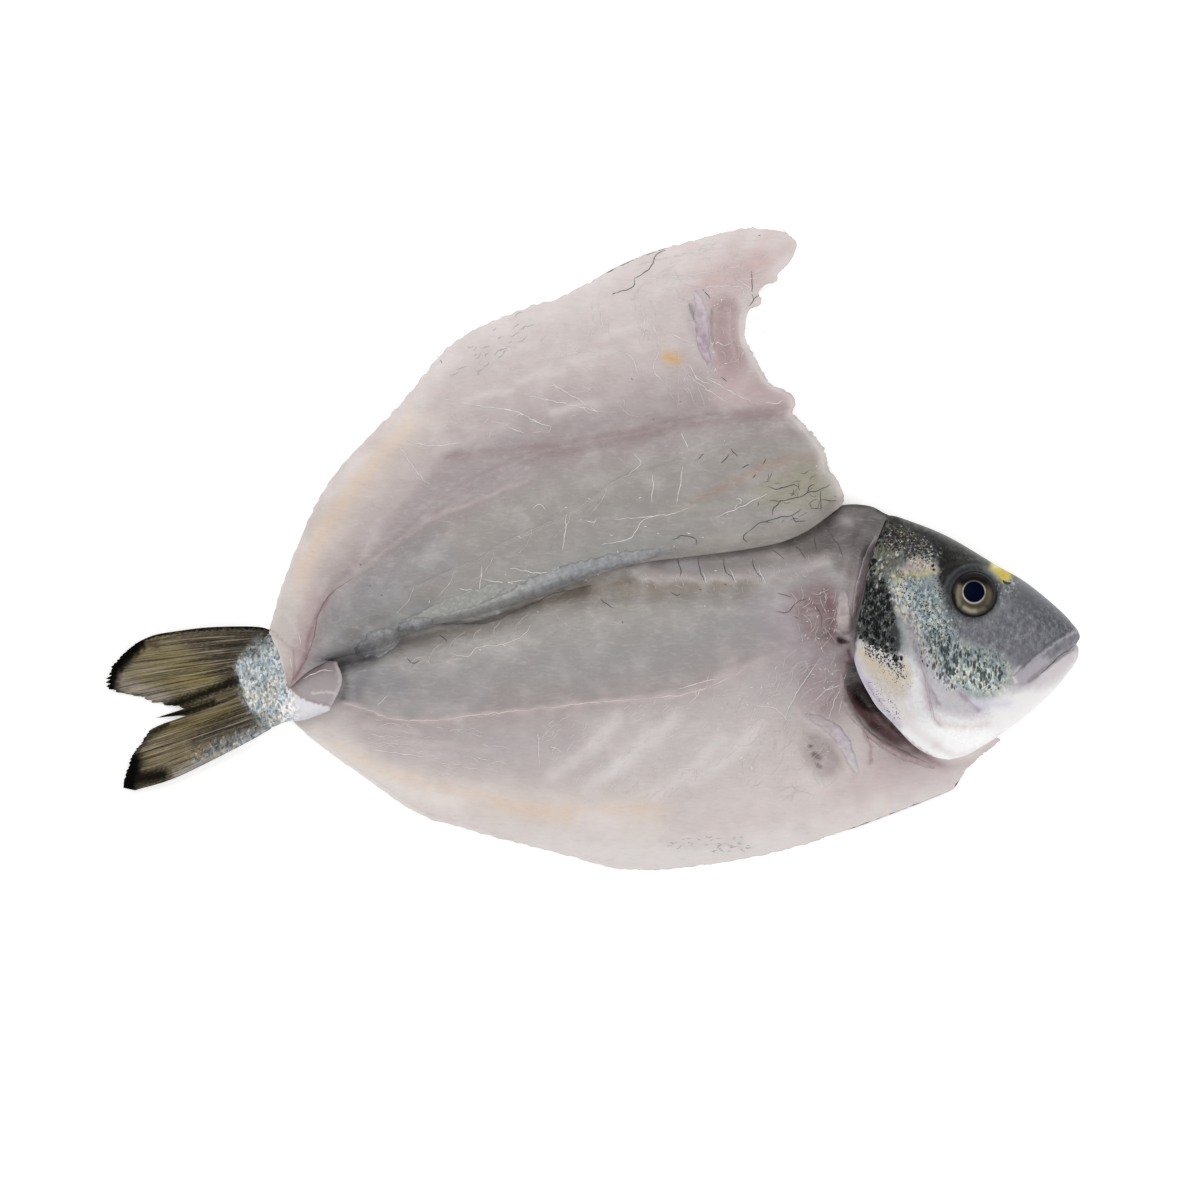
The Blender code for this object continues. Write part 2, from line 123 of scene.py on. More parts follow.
HEAD_CHIN = [
    (110, -64.8), (114.6, -63.7), (118.8, -61.6), (127.5, -56.2), (135, -50.4), (142.6, -43.4),
    (148.2, -36.4),
]
HEAD_SNOUT = [(148.2, -36.4), (149.8, -33.2), (150, -30.4), (149.4, -29.2), (150.4, -27), (149.8, -24.8)]
STALK_END = [(-78.6, -34.6), (-77, -41), (-81, -49.8)]
STALK_UPPER = [(-78.6, -34.6), (-86, -33.5), (-93, -30), (-99.5, -25), (-107, -26), (-114, -31)]
STALK_LOWER = [(-81, -49.8), (-88.5, -52.6), (-94, -53.2), (-101, -56), (-108.5, -59), (-114, -56)]
FIN_UPPER = [(-98.5, -25), (-104, -23.8), (-118, -24), (-129.5, -25.4), (-135, -26.4), (-139, -28)]
FIN_LOWER = [(-99, -55.4), (-107.5, -60.2), (-128, -70.3), (-141, -74.4)]
FIN_BASE = [(-98.5, -25), (-96.5, -34), (-97, -46), (-99, -55.4)]
# Rear edge of the tail fin: share of the way across the fin, then the place of the ray tip there.
FIN_TIPS = [
    (0, -139, -28), (0.04, -141, -29.2), (0.1, -144.6, -32.4), (0.19, -148.2, -36.5), (0.27, -149.7, -41.4),
    (0.3, -149.6, -43.2), (0.35, -142.9, -45), (0.4, -136.8, -47), (0.44, -131.6, -48.4),
    (0.465, -126, -49.2), (0.475, -125, -49.6), (0.483, -134.6, -52), (0.495, -135.4, -52.3),
    (0.505, -127.2, -51.3), (0.52, -121.6, -51.4), (0.535, -126, -52.6), (0.55, -132.4, -53.8),
    (0.6, -136.2, -55.6), (0.69, -138.8, -59.7), (0.78, -141.5, -63.2), (0.87, -142.9, -67.4),
    (0.94, -144.3, -70.9), (0.975, -144.6, -73.6), (1, -141, -74.4),
]

# Lines that ridges, furrows and colours follow.
BACK_FURROW = [(-92, -42), (-80, -36.5), (-62, -28.5), (-40, -22.5), (-22, -17), (-4, -11.5)]
BACK_ROPE = [(-55, -24), (-37.5, -19), (-20, -13.8), (-5, -8.6), (9, -5), (16, -3.4)]
BACK_LUMP = [(-66, -27.5), (-62, -25.5)]
NEAR_SEPTUM = [
    (-90, -38.5), (-86, -28), (-79, -11.5), (-67, -2.5), (-55, 7.3), (-40.5, 18.4), (-25.5, 26), (-8, 32),
    (16, 36), (28, 39.5), (46, 41.2), (64, 43),
]
FAR_SEPTUM = [
    (-82, -45.5), (-74, -49), (-64, -52), (-50, -52.8), (-28, -50.2), (-10, -48.6), (9, -45.8), (27, -42.7),
    (39.5, -37.8), (52, -33), (70, -28), (84, -26),
]
FIN_BONE_BAND = [(14, -8.5), (30, -8.8), (46, -7.6), (62, -5.4), (76, -2.2), (88, 2)]
COLLAR_BONE = [(84, 4), (82, -6), (80.5, -14), (79, -24)]
NEAR_POCKET = [(42, 74), (42.5, 66), (44.5, 58)]
NEAR_POCKET_LIP = [(34.5, 75), (36.5, 67), (38.5, 59)]
FAR_POCKET = [(71, -59.5), (73, -65)]
FAR_POCKET_LIP = [(65, -52), (73.5, -58.5), (79.5, -69)]
THROAT_HOLLOW = [(83.5, -45), (90, -54), (97.5, -60)]
FLESH_RELIEF = [
    (BACK_FURROW, 2.4, -2.2), (BACK_ROPE, 2.6, 2.4), (BACK_LUMP, 3.2, 2.8), (NEAR_SEPTUM, 1.6, -0.6),
    (FAR_SEPTUM, 1.4, -0.7), (FIN_BONE_BAND, 3, 1.5), (COLLAR_BONE, 2.4, 2.2), (NEAR_POCKET, 3, -2.6),
    (NEAR_POCKET_LIP, 1.8, 1.4), (FAR_POCKET, 4, -1.2), (FAR_POCKET_LIP, 2, 1.8), (THROAT_HOLLOW, 4, -5),
]
MOUTH = [(152, -29.5), (147.5, -30.8), (141, -35.4), (134.6, -40.4)]
UPPER_LIP = [(149, -26.6), (143, -30.6), (136, -35.6), (131, -39.4)]
NAPE_FOLDS = [(88, 4), (92, 9), (97, 8)]
PREOPERCLE = [(96.1, -20.5), (101.4, -33.8), (104.5, -45.2), (106, -52), (108.6, -55.4)]
CHEEK_RIM = [(101.5, -20.5), (109.4, -36), (117, -44.8), (127, -42)]
EYE_BROW = [(108.5, -9.5), (113, -5.4), (119, -4.6), (125.5, -9)]
NOSTRIL = [(127.6, -10.4), (129.2, -9.8)]
HEAD_RELIEF = [
    (MOUTH, 0.7, -1.6), (UPPER_LIP, 1.9, 1), (PREOPERCLE, 0.9, -0.7), (CHEEK_RIM, 1.2, -0.4),
    (EYE_BROW, 1.6, 0.7), (NOSTRIL, 0.7, -1.2),
]


# ---------------------------------------------------------------- lines, sheets and noise


def curve_through(points, steps=24):
    """A smooth line through the points, as a function of the share of its length that has been run."""
    p = np.array(points, float)
    p = np.vstack([2 * p[0] - p[1], p, 2 * p[-1] - p[-2]])
    t = np.linspace(0, 1, steps, endpoint=False)[:, None]
    spans = []
    for a, b, c, d in zip(p, p[1:], p[2:], p[3:]):
        square, cube = 2 * a - 5 * b + 4 * c - d, 3 * b - a - 3 * c + d
        spans.append(b + 0.5 * ((c - a) * t + square * t**2 + cube * t**3))
    line = np.vstack([*spans, p[-2:-1]])
    run = np.concatenate([[0], np.cumsum(np.linalg.norm(np.diff(line, axis=0), axis=1))])
    axes = range(line.shape[1])
    return lambda s: np.stack([np.interp(s, run / run[-1], line[:, k]) for k in axes], axis=-1)


def length_of(line):
    return np.linalg.norm(np.diff(np.array(line, float), axis=0), axis=1).sum()


def unit(vectors):
    return vectors / np.linalg.norm(vectors, axis=1)[:, None]


def smooth_value(places, values):
    """A smooth function of one number that takes these values at these places."""
    line = curve_through(list(zip(places, values)))(np.linspace(0, 1, 200))
    return lambda x: np.interp(x, line[:, 0], line[:, 1])


def patch(side_a, side_b, start, end, s, t, start_reach=4.0, end_reach=4.0):
    """Points of a sheet stretched between two long sides, whose ends bow out to the start and end lines."""
    s, t = s[:, None], t[:, None]
    points = side_a(s[:, 0]) * (1 - t) + side_b(s[:, 0]) * t
    for line, share, reach, at in ((start, 1 - s, start_reach, 0), (end, s, end_reach, 1)):
        if line is not None:
            points = points + share**reach * (line(t[:, 0]) - side_a(at) * (1 - t) - side_b(at) * t)
    return points


def line_distance(points, line, reach=400.0, smooth=True):
    """How far each point is from a line, or from a single spot; beyond the reach it only says far."""
    path = np.array(line * 2 if len(line) == 1 else line, float)
    if smooth and len(line) > 2:
        path = curve_through(line)(np.linspace(0, 1, STEPS * len(line)))
    near = ((points > path.min(0) - reach) & (points < path.max(0) + reach)).all(1)
    best = np.full(near.sum(), FAR_OFF**2)
    for start, run in zip(path, np.diff(path, axis=0)):
        off = points[near] - start
        share = np.clip((off @ run) / (run @ run + TINY), 0, 1)
        best = np.minimum(best, ((off - share[:, None] * run) ** 2).sum(1))
    distance = np.full(len(points), FAR_OFF)
    distance[near] = np.sqrt(best)
    return distance


def bell(distance, width, power=2):
    """1 at no distance, fading away past this width. A higher power makes the sides crisper."""
    return np.exp(-((distance / width) ** power))


def inside(points, outline, soft):
    """1 inside a closed outline and 0 outside it, with an edge this soft."""
    loop = curve_through([*outline, outline[0]])(np.linspace(0, 1, STEPS * len(outline)))
    near = ((points > loop.min(0) - soft) & (points < loop.max(0) + soft)).all(1)
    x, y = points[near].T
    crossings = np.zeros(near.sum(), int)
    for (ax, ay), (bx, by) in zip(loop, loop[1:]):
        crossings += ((ay > y) != (by > y)) & (x < (bx - ax) * (y - ay) / (by - ay + TINY) + ax)
    edge = line_distance(points[near], [*map(tuple, loop)], 3 * soft, smooth=False)
    share = np.zeros(len(points))
    share[near] = step(np.where(crossings % 2 == 1, edge, -edge), -soft, soft)
    return share


def side_of(points, line):
    """Distance from the line, positive on its left."""
    count = 120
    spots = curve_through(line)(np.linspace(0, 1, count))
    nearest = ((points[:, None, :] - spots[None]) ** 2).sum(2).argmin(1)
    ahead = unit(spots[np.minimum(nearest + 1, count - 1)] - spots[np.maximum(nearest - 1, 0)])
    off = points - spots[nearest]
    return ahead[:, 0] * off[:, 1] - ahead[:, 1] * off[:, 0]


def relief(points, rows):
    """Height of ridges and furrows, each given as line, half width and height."""
    return sum(height * bell(line_distance(points, line, 4 * width), width) for line, width, height in rows)


def wobble(points, size, seed):
    """Smooth random waves of about this size, between -1 and 1."""
    rng = np.random.default_rng(seed)
    count = 14
    angles = rng.uniform(0, math.tau, count)
    waves = math.tau / size * rng.uniform(0.6, 1.5, count)
    phase = rng.uniform(0, math.tau, count)
    swing = np.sin((points[:, :1] * np.cos(angles) + points[:, 1:2] * np.sin(angles)) * waves + phase)
    return np.clip(swing.sum(1) / 5.0, -1, 1)


def frayed(points, reach, size, seed, second_size=None):
    """The points pushed about by up to this reach, so that what is laid on them gets an uneven edge."""
    waves = [wobble(points, size, seed), wobble(points, second_size or size, seed + 1)]
    return points + reach * np.stack(waves, 1)


def step(x, low, high):
    """0 below the low end, 1 above the high end, and a smooth rise between them."""
    x = np.clip((x - low) / (high - low), 0, 1)
    return x * x * (3 - 2 * x)


def crowded(share):
    """Shares drawn towards both ends, which puts more corners where a surface bends down to its rim."""
    return 0.3 * share + 0.35 * (1 - np.cos(math.pi * share))


near_inner, near_outer, near_front = map(curve_through, (NEAR_INNER, NEAR_OUTER, NEAR_FRONT))
far_inner, far_outer, far_front = map(curve_through, (FAR_INNER, FAR_OUTER, FAR_FRONT))
head_rear, head_crown = map(curve_through, (HEAD_REAR, HEAD_CROWN))
head_chin, head_snout = map(curve_through, (HEAD_CHIN, HEAD_SNOUT))
stalk_upper, stalk_lower, stalk_end = map(curve_through, (STALK_UPPER, STALK_LOWER, STALK_END))
fin_upper, fin_lower, fin_base = map(curve_through, (FIN_UPPER, FIN_LOWER, FIN_BASE))


def fin_tips(t):
    across, x, y = np.transpose(FIN_TIPS)
    return np.stack([np.interp(t, across, x), np.interp(t, across, y)], axis=-1)


# Thickness of each fillet and of the head, as shares of the most, along it and across it.


near_length = smooth_value([0, 0.1, 0.3, 0.6, 0.85, 1], [0.50, 0.60, 0.80, 0.96, 1.0, 0.88])
near_across = smooth_value(
    [0, 0.05, 0.14, 0.26, 0.38, 0.5, 0.65, 0.82, 0.94, 1],
    [0.55, 0.78, 0.93, 1.0, 0.88, 0.66, 0.43, 0.30, 0.22, 0.12],
)
far_length = smooth_value([0, 0.1, 0.3, 0.6, 0.85, 1], [0.45, 0.55, 0.76, 0.92, 1.0, 0.98])
far_across = smooth_value(
    [0, 0.06, 0.12, 0.2, 0.31, 0.42, 0.52, 0.66, 0.82, 0.94, 1],
    [0.30, 0.50, 0.68, 0.90, 1.0, 0.92, 0.72, 0.48, 0.33, 0.23, 0.12],
)
head_length = smooth_value(
    [0, 0.04, 0.12, 0.28, 0.45, 0.6, 0.75, 0.88, 0.96, 1],
    [0.38, 0.60, 0.84, 1.0, 0.98, 0.88, 0.70, 0.50, 0.38, 0.24],
)


# ---------------------------------------------------------------- modelling helpers


def deselect():
    bpy.ops.object.select_all(action="DESELECT")


def pick(obj):
    """Selects this piece alone and makes it the active one."""
    deselect()
    obj.select_set(True)
    bpy.context.view_layer.objects.active = obj


def set_mode(mode):
    bpy.ops.object.mode_set(mode=mode)


def start_slab(name, cells):
    """A grid drawn out to a closed slab, each corner's shares along and across it, and which are on top."""
    deselect()
    bpy.ops.mesh.primitive_grid_add(x_subdivisions=cells[0], y_subdivisions=cells[1], size=1)
    obj = bpy.context.object
    obj.name = obj.data.name = name
    set_mode("EDIT")
    bpy.ops.mesh.select_all(action="SELECT")
    bpy.ops.mesh.extrude_region_move(TRANSFORM_OT_translate={"value": (0, 0, 1)})
    set_mode("OBJECT")
    places = corners(obj)
    s, t = (np.clip(places[:, k] + 0.5, 0, 1) for k in (0, 1))
    return obj, s, t, places[:, 2] > 0.5


def corners(obj):
    places = np.empty(len(obj.data.vertices) * 3)
    obj.data.vertices.foreach_get("co", places)
    return places.reshape(-1, 3)


def corners_of_faces(obj):
    """The number of the corner at each turn of each face."""
    ends = np.empty(len(obj.data.loops), int)
    obj.data.loops.foreach_get("vertex_index", ends)
    return ends


def put_corners(obj, points, heights):
    """Moves the corners to these places in millimetres, and turns the faces outward."""
    obj.data.vertices.foreach_set("co", (np.column_stack([points, heights]) * MM).ravel())
    obj.data.update()
    turn_outward(obj)


def turn_outward(obj):
    pick(obj)
    set_mode("EDIT")
    bpy.ops.mesh.select_all(action="SELECT")
    bpy.ops.mesh.normals_make_consistent(inside=False)
    set_mode("OBJECT")
    bpy.ops.object.shade_smooth()


def one_face(obj, chosen):
    """Merges the faces whose corners are all chosen into one, where nothing shows."""
    pick(obj)
    set_mode("EDIT")
    bpy.ops.mesh.select_all(action="DESELECT")
    bpy.ops.mesh.select_mode(type="FACE")
    set_mode("OBJECT")
    obj.data.polygons.foreach_set("select", chosen[corners_of_faces(obj)].reshape(-1, 4).all(1))
    set_mode("EDIT")
    bpy.ops.mesh.dissolve_faces()
    bpy.ops.mesh.select_all(action="DESELECT")
    bpy.ops.mesh.select_mode(type="VERT")
    set_mode("OBJECT")


def finish(obj, material, replaced="fish"):
    """Gives the piece its material and ties it to the frame."""
    obj.data.materials.clear()
    obj.data.materials.append(material)
    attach(obj, "root")
    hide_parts(replaced)
    return obj


# ---------------------------------------------------------------- colours


def srgb(code):
    """Linear colour of a hex code."""
    values = np.array([int(code[k : k + 2], 16) / 255 for k in (1, 3, 5)])
    return np.where(values <= 0.04045, values / 12.92, ((values + 0.055) / 1.055) ** 2.4)


def ramp(x, stops):
    """Colour along a row of (place, hex) stops."""
    places = [place for place, _ in stops]
    colours = np.array([srgb(code) for _, code in stops])
    return np.stack([np.interp(x, places, colours[:, k]) for k in range(3)], 1)


def blend(colours, other, share):
    """Lays another colour over the colours, by each corner's share."""
    return colours * (1 - share[:, None]) + other * share[:, None]


def stroke(line, width, code, strength=0.8, power=2):
    """A mark: a line of colour with soft sides. A higher power makes them crisper."""
    return lambda at: strength * bell(line_distance(at, line, 3 * width), width, power), code


def area(outline, soft, code, strength=0.9):
    """A mark: a patch of colour inside an outline, with an edge this soft."""
    return lambda at: strength * inside(at, outline, soft), code


def paint(colours, points, marks, fray=0.0, grain=3.0):
    """Lays marks over the colours; their edges fray by this many millimetres."""
    at = frayed(points, fray, grain, 3)
    for share_at, code in marks:
        colours = blend(colours, srgb(code), share_at(at))
    return colours


def set_tint(obj, colours):
    """Writes the colour of each corner, which every material here reads."""
    layer = obj.data.color_attributes.new("tint", "FLOAT_COLOR", "POINT")
    layer.data.foreach_set("color", np.hstack([colours, np.ones((len(colours), 1))]).ravel())


def set_mask(obj, values, name):
    """Writes one value for each corner, which a material reads under this name."""
    layer = obj.data.attributes.new(name, "FLOAT", "POINT")
    layer.data.foreach_set("value", np.clip(values, 0, 2).astype(np.float32))


# ---------------------------------------------------------------- materials

MASKS = ("fleck", "dash", "speck", "blot", "streak", "mottle")


def fill(tree, filled, values):
    """Fills a node's sockets. A value that is a socket or a node is linked, a hex code becomes a colour."""
    for key, value in values.items():
        if isinstance(value, bpy.types.Node):
            value = value.outputs[0]
        if isinstance(value, bpy.types.NodeSocket):
            tree.links.new(value, filled.inputs[key])
        else:
            filled.inputs[key].default_value = (*srgb(value), 1) if isinstance(value, str) else value


def new_material(name, **values):
    material = bpy.data.materials.new(name)
    material.use_nodes = True
    shader = material.node_tree.nodes["Principled BSDF"]
    fill(material.node_tree, shader, {key.replace("_", " "): value for key, value in values.items()})
    return material, material.node_tree, shader


def node(tree, kind, values=None, **settings):
    """Adds a node with its settings and links."""
    added = tree.nodes.new(kind)
    for key, value in settings.items():
        setattr(added, key, value)
    fill(tree, added, values or {})
    return added


def lay(tree, colour, tone, pattern, reach=None, mask=None, blend_type="MIX"):
    """Lays a tone over a colour by a pattern. The reach holds the values at which the pattern starts to show
    and shows in full, and its strength. The mask holds it back."""
    share = pattern
    if reach:
        share = node(tree, "ShaderNodeMapRange", {0: pattern, 1: reach[0], 2: reach[1], 4: reach[2]})
    if mask is not None:
        share = node(tree, "ShaderNodeMath", {0: share, 1: mask}, operation="MULTIPLY")
    sockets = {0: share, 6: colour, 7: tone}
    return node(tree, "ShaderNodeMix", sockets, data_type="RGBA", blend_type=blend_type).outputs[2]


def object_place(tree, stretch=(1, 1, 1), turn=0.0):
    """The place on the piece, stretched and turned about the upright for a pattern that runs that way."""
    place = node(tree, "ShaderNodeTexCoord").outputs["Object"]
    return node(tree, "ShaderNodeMapping", {"Vector": place, "Scale": stretch, "Rotation": (0, 0, turn)})


def bent(tree, place, noise, metres):
    """A place that noise pushes about by up to this far, so that a pattern isn't straight."""
    push = node(tree, "ShaderNodeVectorMath", {0: noise.outputs["Color"], 3: metres}, operation="SCALE")
    return node(tree, "ShaderNodeVectorMath", {0: place, 1: push}, operation="ADD")


def per_mm(size):
    """Texture scale of a pattern whose marks are this many millimetres apart."""
    return 1000.0 / size


def raw_flesh(name):
    """Raw white fish muscle, knife-cut: moist and lit a little from within, with faint fibres and threads."""
    material, tree, shader = new_material(
        name, Roughness=0.46, Subsurface_Weight=0.15, Subsurface_Radius=(1.0, 0.6, 0.5),
        Subsurface_Scale=0.0016, Coat_Weight=0.25, Coat_Roughness=0.16, IOR=1.36,
    )
    place = object_place(tree)
    along = object_place(tree, (0.35, 1.0, 1.0), -0.42)
    aslant = object_place(tree, (0.25, 1.0, 1.0), 0.75)
    cloud, fibre, hairs, grain = (
        node(tree, "ShaderNodeTexNoise", {"Vector": where, "Scale": per_mm(size), **more})
        for where, size, more in (
            (place, 9, {"Detail": 7.0, "Roughness": 0.55}), (along, 1.7, {"Detail": 6.0, "Distortion": 1.2}),
            (aslant, 0.7, {"Detail": 5.0, "Distortion": 0.8}), (place, 0.8, {"Detail": 3.0}),
        )
    )
    colour = node(tree, "ShaderNodeAttribute", attribute_name="tint").outputs["Color"]
    for pattern, reach, tone in (
        (cloud, (0.48, 0.72, 0.13), "#efe9e8"), (cloud, (0.48, 0.3, 0.08), "#7d7576"),
        (fibre, (0.53, 0.72, 0.09), "#f1ecea"), (fibre, (0.46, 0.3, 0.06), "#6f6868"),
        (hairs, (0.55, 0.68, 0.06), "#f4f0ee"), (hairs, (0.44, 0.34, 0.04), "#746c6c"),
    ):
        colour = lay(tree, colour, tone, pattern, reach)
    # Threads between the muscle cells, 5.5 mm apart and broken here and there, where the mask shows them.
    bowed = bent(tree, along, cloud, 0.004)
    net = node(
        tree, "ShaderNodeTexVoronoi", {"Vector": bowed, "Scale": per_mm(5.5)}, feature="DISTANCE_TO_EDGE"
    )
    broken = node(tree, "ShaderNodeMapRange", {0: cloud, 1: 0.4, 2: 0.56})
    shown = node(tree, "ShaderNodeAttribute", attribute_name="net").outputs["Fac"]
    shown = node(tree, "ShaderNodeMath", {0: broken, 1: shown}, operation="MULTIPLY")
    colour = lay(tree, colour, "#ded7d4", net.outputs["Distance"], (0.04, 0.012, 0.17), shown)
    roughness = node(tree, "ShaderNodeMapRange", {0: cloud, 1: 0.3, 2: 0.7, 3: 0.55, 4: 0.36})
    below = {}
    for pattern, strength, depth in ((cloud, 0.3, 0.0011), (fibre, 0.2, 0.0004), (grain, 0.15, 0.0002)):
        sockets = {"Height": pattern, "Strength": strength, "Distance": depth, **below}
        bump = node(tree, "ShaderNodeBump", sockets)
        below = {"Normal": bump}
    fill(tree, shader, {"Base Color": colour, "Roughness": roughness, "Normal": bump, "Coat Normal": bump})
    return material


def spots(tree, mask, size, stretch=(1, 1, 1), turn=0.0):
    """Ragged round marks of this size, which crowd and run together where the mask is high."""
    place = object_place(tree, stretch, turn)
    noise = node(tree, "ShaderNodeTexNoise", {"Vector": place, "Scale": per_mm(size * 0.8), "Detail": 3.0})
    ragged = bent(tree, place, noise, size * 0.0007)
    cells = node(tree, "ShaderNodeTexVoronoi", {"Vector": ragged, "Scale": per_mm(size)})
    chance = node(tree, "ShaderNodeSeparateColor", {"Color": cells.outputs["Color"]})
    varied = node(tree, "ShaderNodeMapRange", {0: chance, 3: 0.45, 4: 1.2})
    reach = node(tree, "ShaderNodeMath", {0: mask, 1: varied}, operation="MULTIPLY")
    margin = node(tree, "ShaderNodeMath", {0: reach, 1: cells.outputs["Distance"]}, operation="SUBTRACT")
    return node(tree, "ShaderNodeMapRange", {0: margin, 1: 0.0, 2: 0.1})


def fish_skin(name, scale=0.55, streaks=False, **values):
    """Silver fish skin: small clear scales with painted blue and gold glints, black pigment, or a fin's rays."""
    material, tree, shader = new_material(name, **values)
    tint = node(tree, "ShaderNodeAttribute", attribute_name="tint").outputs["Color"]
    masks = {mask: node(tree, "ShaderNodeAttribute", attribute_name=mask).outputs["Fac"] for mask in MASKS}
    place = object_place(tree, (1.0, 0.62, 1.0), 0.35)
    cells = node(tree, "ShaderNodeTexVoronoi", {"Vector": place, "Scale": per_mm(scale)})
    chance = node(tree, "ShaderNodeSeparateColor", {"Color": cells.outputs["Color"]}).outputs
    drift = node(tree, "ShaderNodeTexNoise", {"Vector": place, "Scale": per_mm(scale * 4), "Detail": 5.0})
    mottle = node(
        tree, "ShaderNodeTexNoise", {"Vector": place, "Scale": per_mm(1.3), "Detail": 7.0, "Roughness": 0.75}
    )
    hue = lay(tree, "#d3e0e6", "#e6e0d0", drift, (0.38, 0.62, 1.0))
    hue = lay(tree, hue, "#dcd5e2", chance[2], (0.75, 0.95, 0.5))
    # Painted glints: each scale is made lighter or darker at random, and some are painted near white.
    light = node(tree, "ShaderNodeMapRange", {0: chance[0], 3: 0.5, 4: 2.5})
    lights = node(tree, "ShaderNodeCombineColor", {0: light, 1: light, 2: light})
    lit = tint
    for tone in (hue, lights):
        lit = lay(tree, lit, tone, 1.0, blend_type="MULTIPLY")
    lit = lay(tree, lit, "#e9eeec", chance[1], (0.84, 0.95, 0.55))
    lit = lay(tree, lit, "#2b2e2c", drift, (0.5, 0.34, 0.4))
    colour = lay(tree, tint, lit, masks["fleck"])
    colour = lay(tree, colour, "#23252b", mottle, (0.5, 0.64, 0.45), masks["mottle"])
    colour = lay(tree, colour, "#b4b9c0", mottle, (0.48, 0.36, 0.3), masks["mottle"])
    colour = lay(tree, colour, "#272e30", spots(tree, masks["dash"], 0.95, (1.0, 0.36, 1.0), 0.2), mask=0.85)
    colour = lay(tree, colour, "#2b272a", spots(tree, masks["speck"], 0.6))
    # Black pigment spots, with a painted grey sheen on them.
    black = lay(tree, "#060608", "#868c86", mottle, (0.49, 0.6, 0.95), chance[0])
    colour = lay(tree, colour, black, spots(tree, masks["blot"], 1.9))
    height = cells.outputs["Distance"]
    if streaks:
        rays = node(tree, "ShaderNodeUVMap", uv_map="rays")
        # How often each kind of streak comes along and across the fin, its reach and its tone.
        for along, across, reach, tone in (
            (1.2, 20.0, (0.48, 0.64, 0.45), "#2a241c"), (1.6, 64.0, (0.52, 0.58, 0.68), "#14110d"),
            (2.0, 150.0, (0.53, 0.62, 0.52), "#12100c"), (1.6, 84.0, (0.55, 0.66, 0.6), "#b9ac92"),
            (26.0, 260.0, (0.56, 0.75, 0.4), "#c9bfa2"),
        ):
            drawn_out = node(tree, "ShaderNodeMapping", {"Vector": rays, "Scale": (along, across, 1)})
            height = node(tree, "ShaderNodeTexNoise", {"Vector": drawn_out, "Scale": 1.0, "Detail": 3.0})
            colour = lay(tree, colour, tone, height, reach, masks["streak"])
    bump = node(tree, "ShaderNodeBump", {"Height": height, "Strength": 0.25, "Distance": 0.0002})
    fill(tree, shader, {"Base Color": colour, "Normal": bump})
    return material


def tinted(name, roughness=0.4, grainy=0.2, **values):
    """Membrane, bone, gristle or an eyeball: its own colours with a little grain."""
    material, tree, shader = new_material(name, Roughness=roughness, **values)
    tint = node(tree, "ShaderNodeAttribute", attribute_name="tint").outputs["Color"]
    place = object_place(tree)
    grain = node(tree, "ShaderNodeTexNoise", {"Vector": place, "Scale": per_mm(1.1), "Detail": 5.0})
    colour = lay(tree, tint, "#6d686a", grain, (0.45, 0.7, grainy))
    colour = lay(tree, colour, "#e9e4e6", grain, (0.5, 0.35, grainy))
    bump = node(tree, "ShaderNodeBump", {"Height": grain, "Strength": 0.4 * grainy, "Distance": 0.0006})
    fill(tree, shader, {"Base Color": colour, "Normal": bump})
    return material


FLESH = raw_flesh("raw_bream_flesh")
HEAD_SKIN = fish_skin("silver_head_skin", Roughness=0.42, Specular_IOR_Level=0.12, Coat_Weight=0.03)
BODY_SKIN = fish_skin("silver_body_scales", 3.6, Roughness=0.3, Metallic=0.15)
FIN = fish_skin("tail_fin_web", streaks=True, Roughness=0.6, Specular_IOR_Level=0.015)
MEMBRANE = tinted("wet_membrane", 0.36, 0.14, Coat_Weight=0.2, Coat_Roughness=0.15)
# Black of the nape folds, and the painted shade of the nostril.
GAP = tinted("black_folds_and_nostril_shade", 0.6, 0.1, Specular_IOR_Level=0.2)
EYE = tinted("eyeball", 0.3, 0.0, Specular_IOR_Level=0.02)
THREAD = tinted("fine_threads", 0.4, 0.1)


def set_masks(obj, **values):
    """Writes every mask that fish_skin reads; those that aren't given are nowhere."""
    for name in MASKS:
        set_mask(obj, values.get(name, np.zeros(len(obj.data.vertices))), name)


def cover(points, marks):
    """The strongest of some marks, each given as line, half width, share and crispness."""
    total = np.zeros(len(points))
    for line, width, share, power in marks:
        total = np.maximum(total, share * bell(line_distance(points, line, 3 * width), width, power))
    return total


def trees_of(*pieces):
    graph = bpy.context.evaluated_depsgraph_get()
    return [BVHTree.FromObject(piece, graph) for piece in pieces]


def height_at(points, trees):
    """Height of the top surface under each point, or the skin's where there is none."""
    heights = []
    for x, y in points * MM:
        hits = [tree.ray_cast(Vector((x, y, 0.08)), Vector((0, 0, -1)))[0] for tree in trees]
        heights.append(max([hit.z / MM for hit in hits if hit] or [SKIN_THICK]))
    return np.array(heights)


# ---------------------------------------------------------------- tail stalk


def stalk_plan(s, t):
    return patch(stalk_upper, stalk_lower, stalk_end, None, s, t, start_reach=9.0)


# Where the scales give way to the fin: the skin dives under the rays beyond this line.
SCALED = [
    (-99.4, -24.4), (-101.9, -28.8), (-106.3, -31.6), (-110.7, -34.9), (-108.5, -42), (-106.8, -47.6),
    (-103.5, -51.4), (-99.6, -55.3), (-92, -64), (-66, -60), (-66, -20), (-92, -18),
]
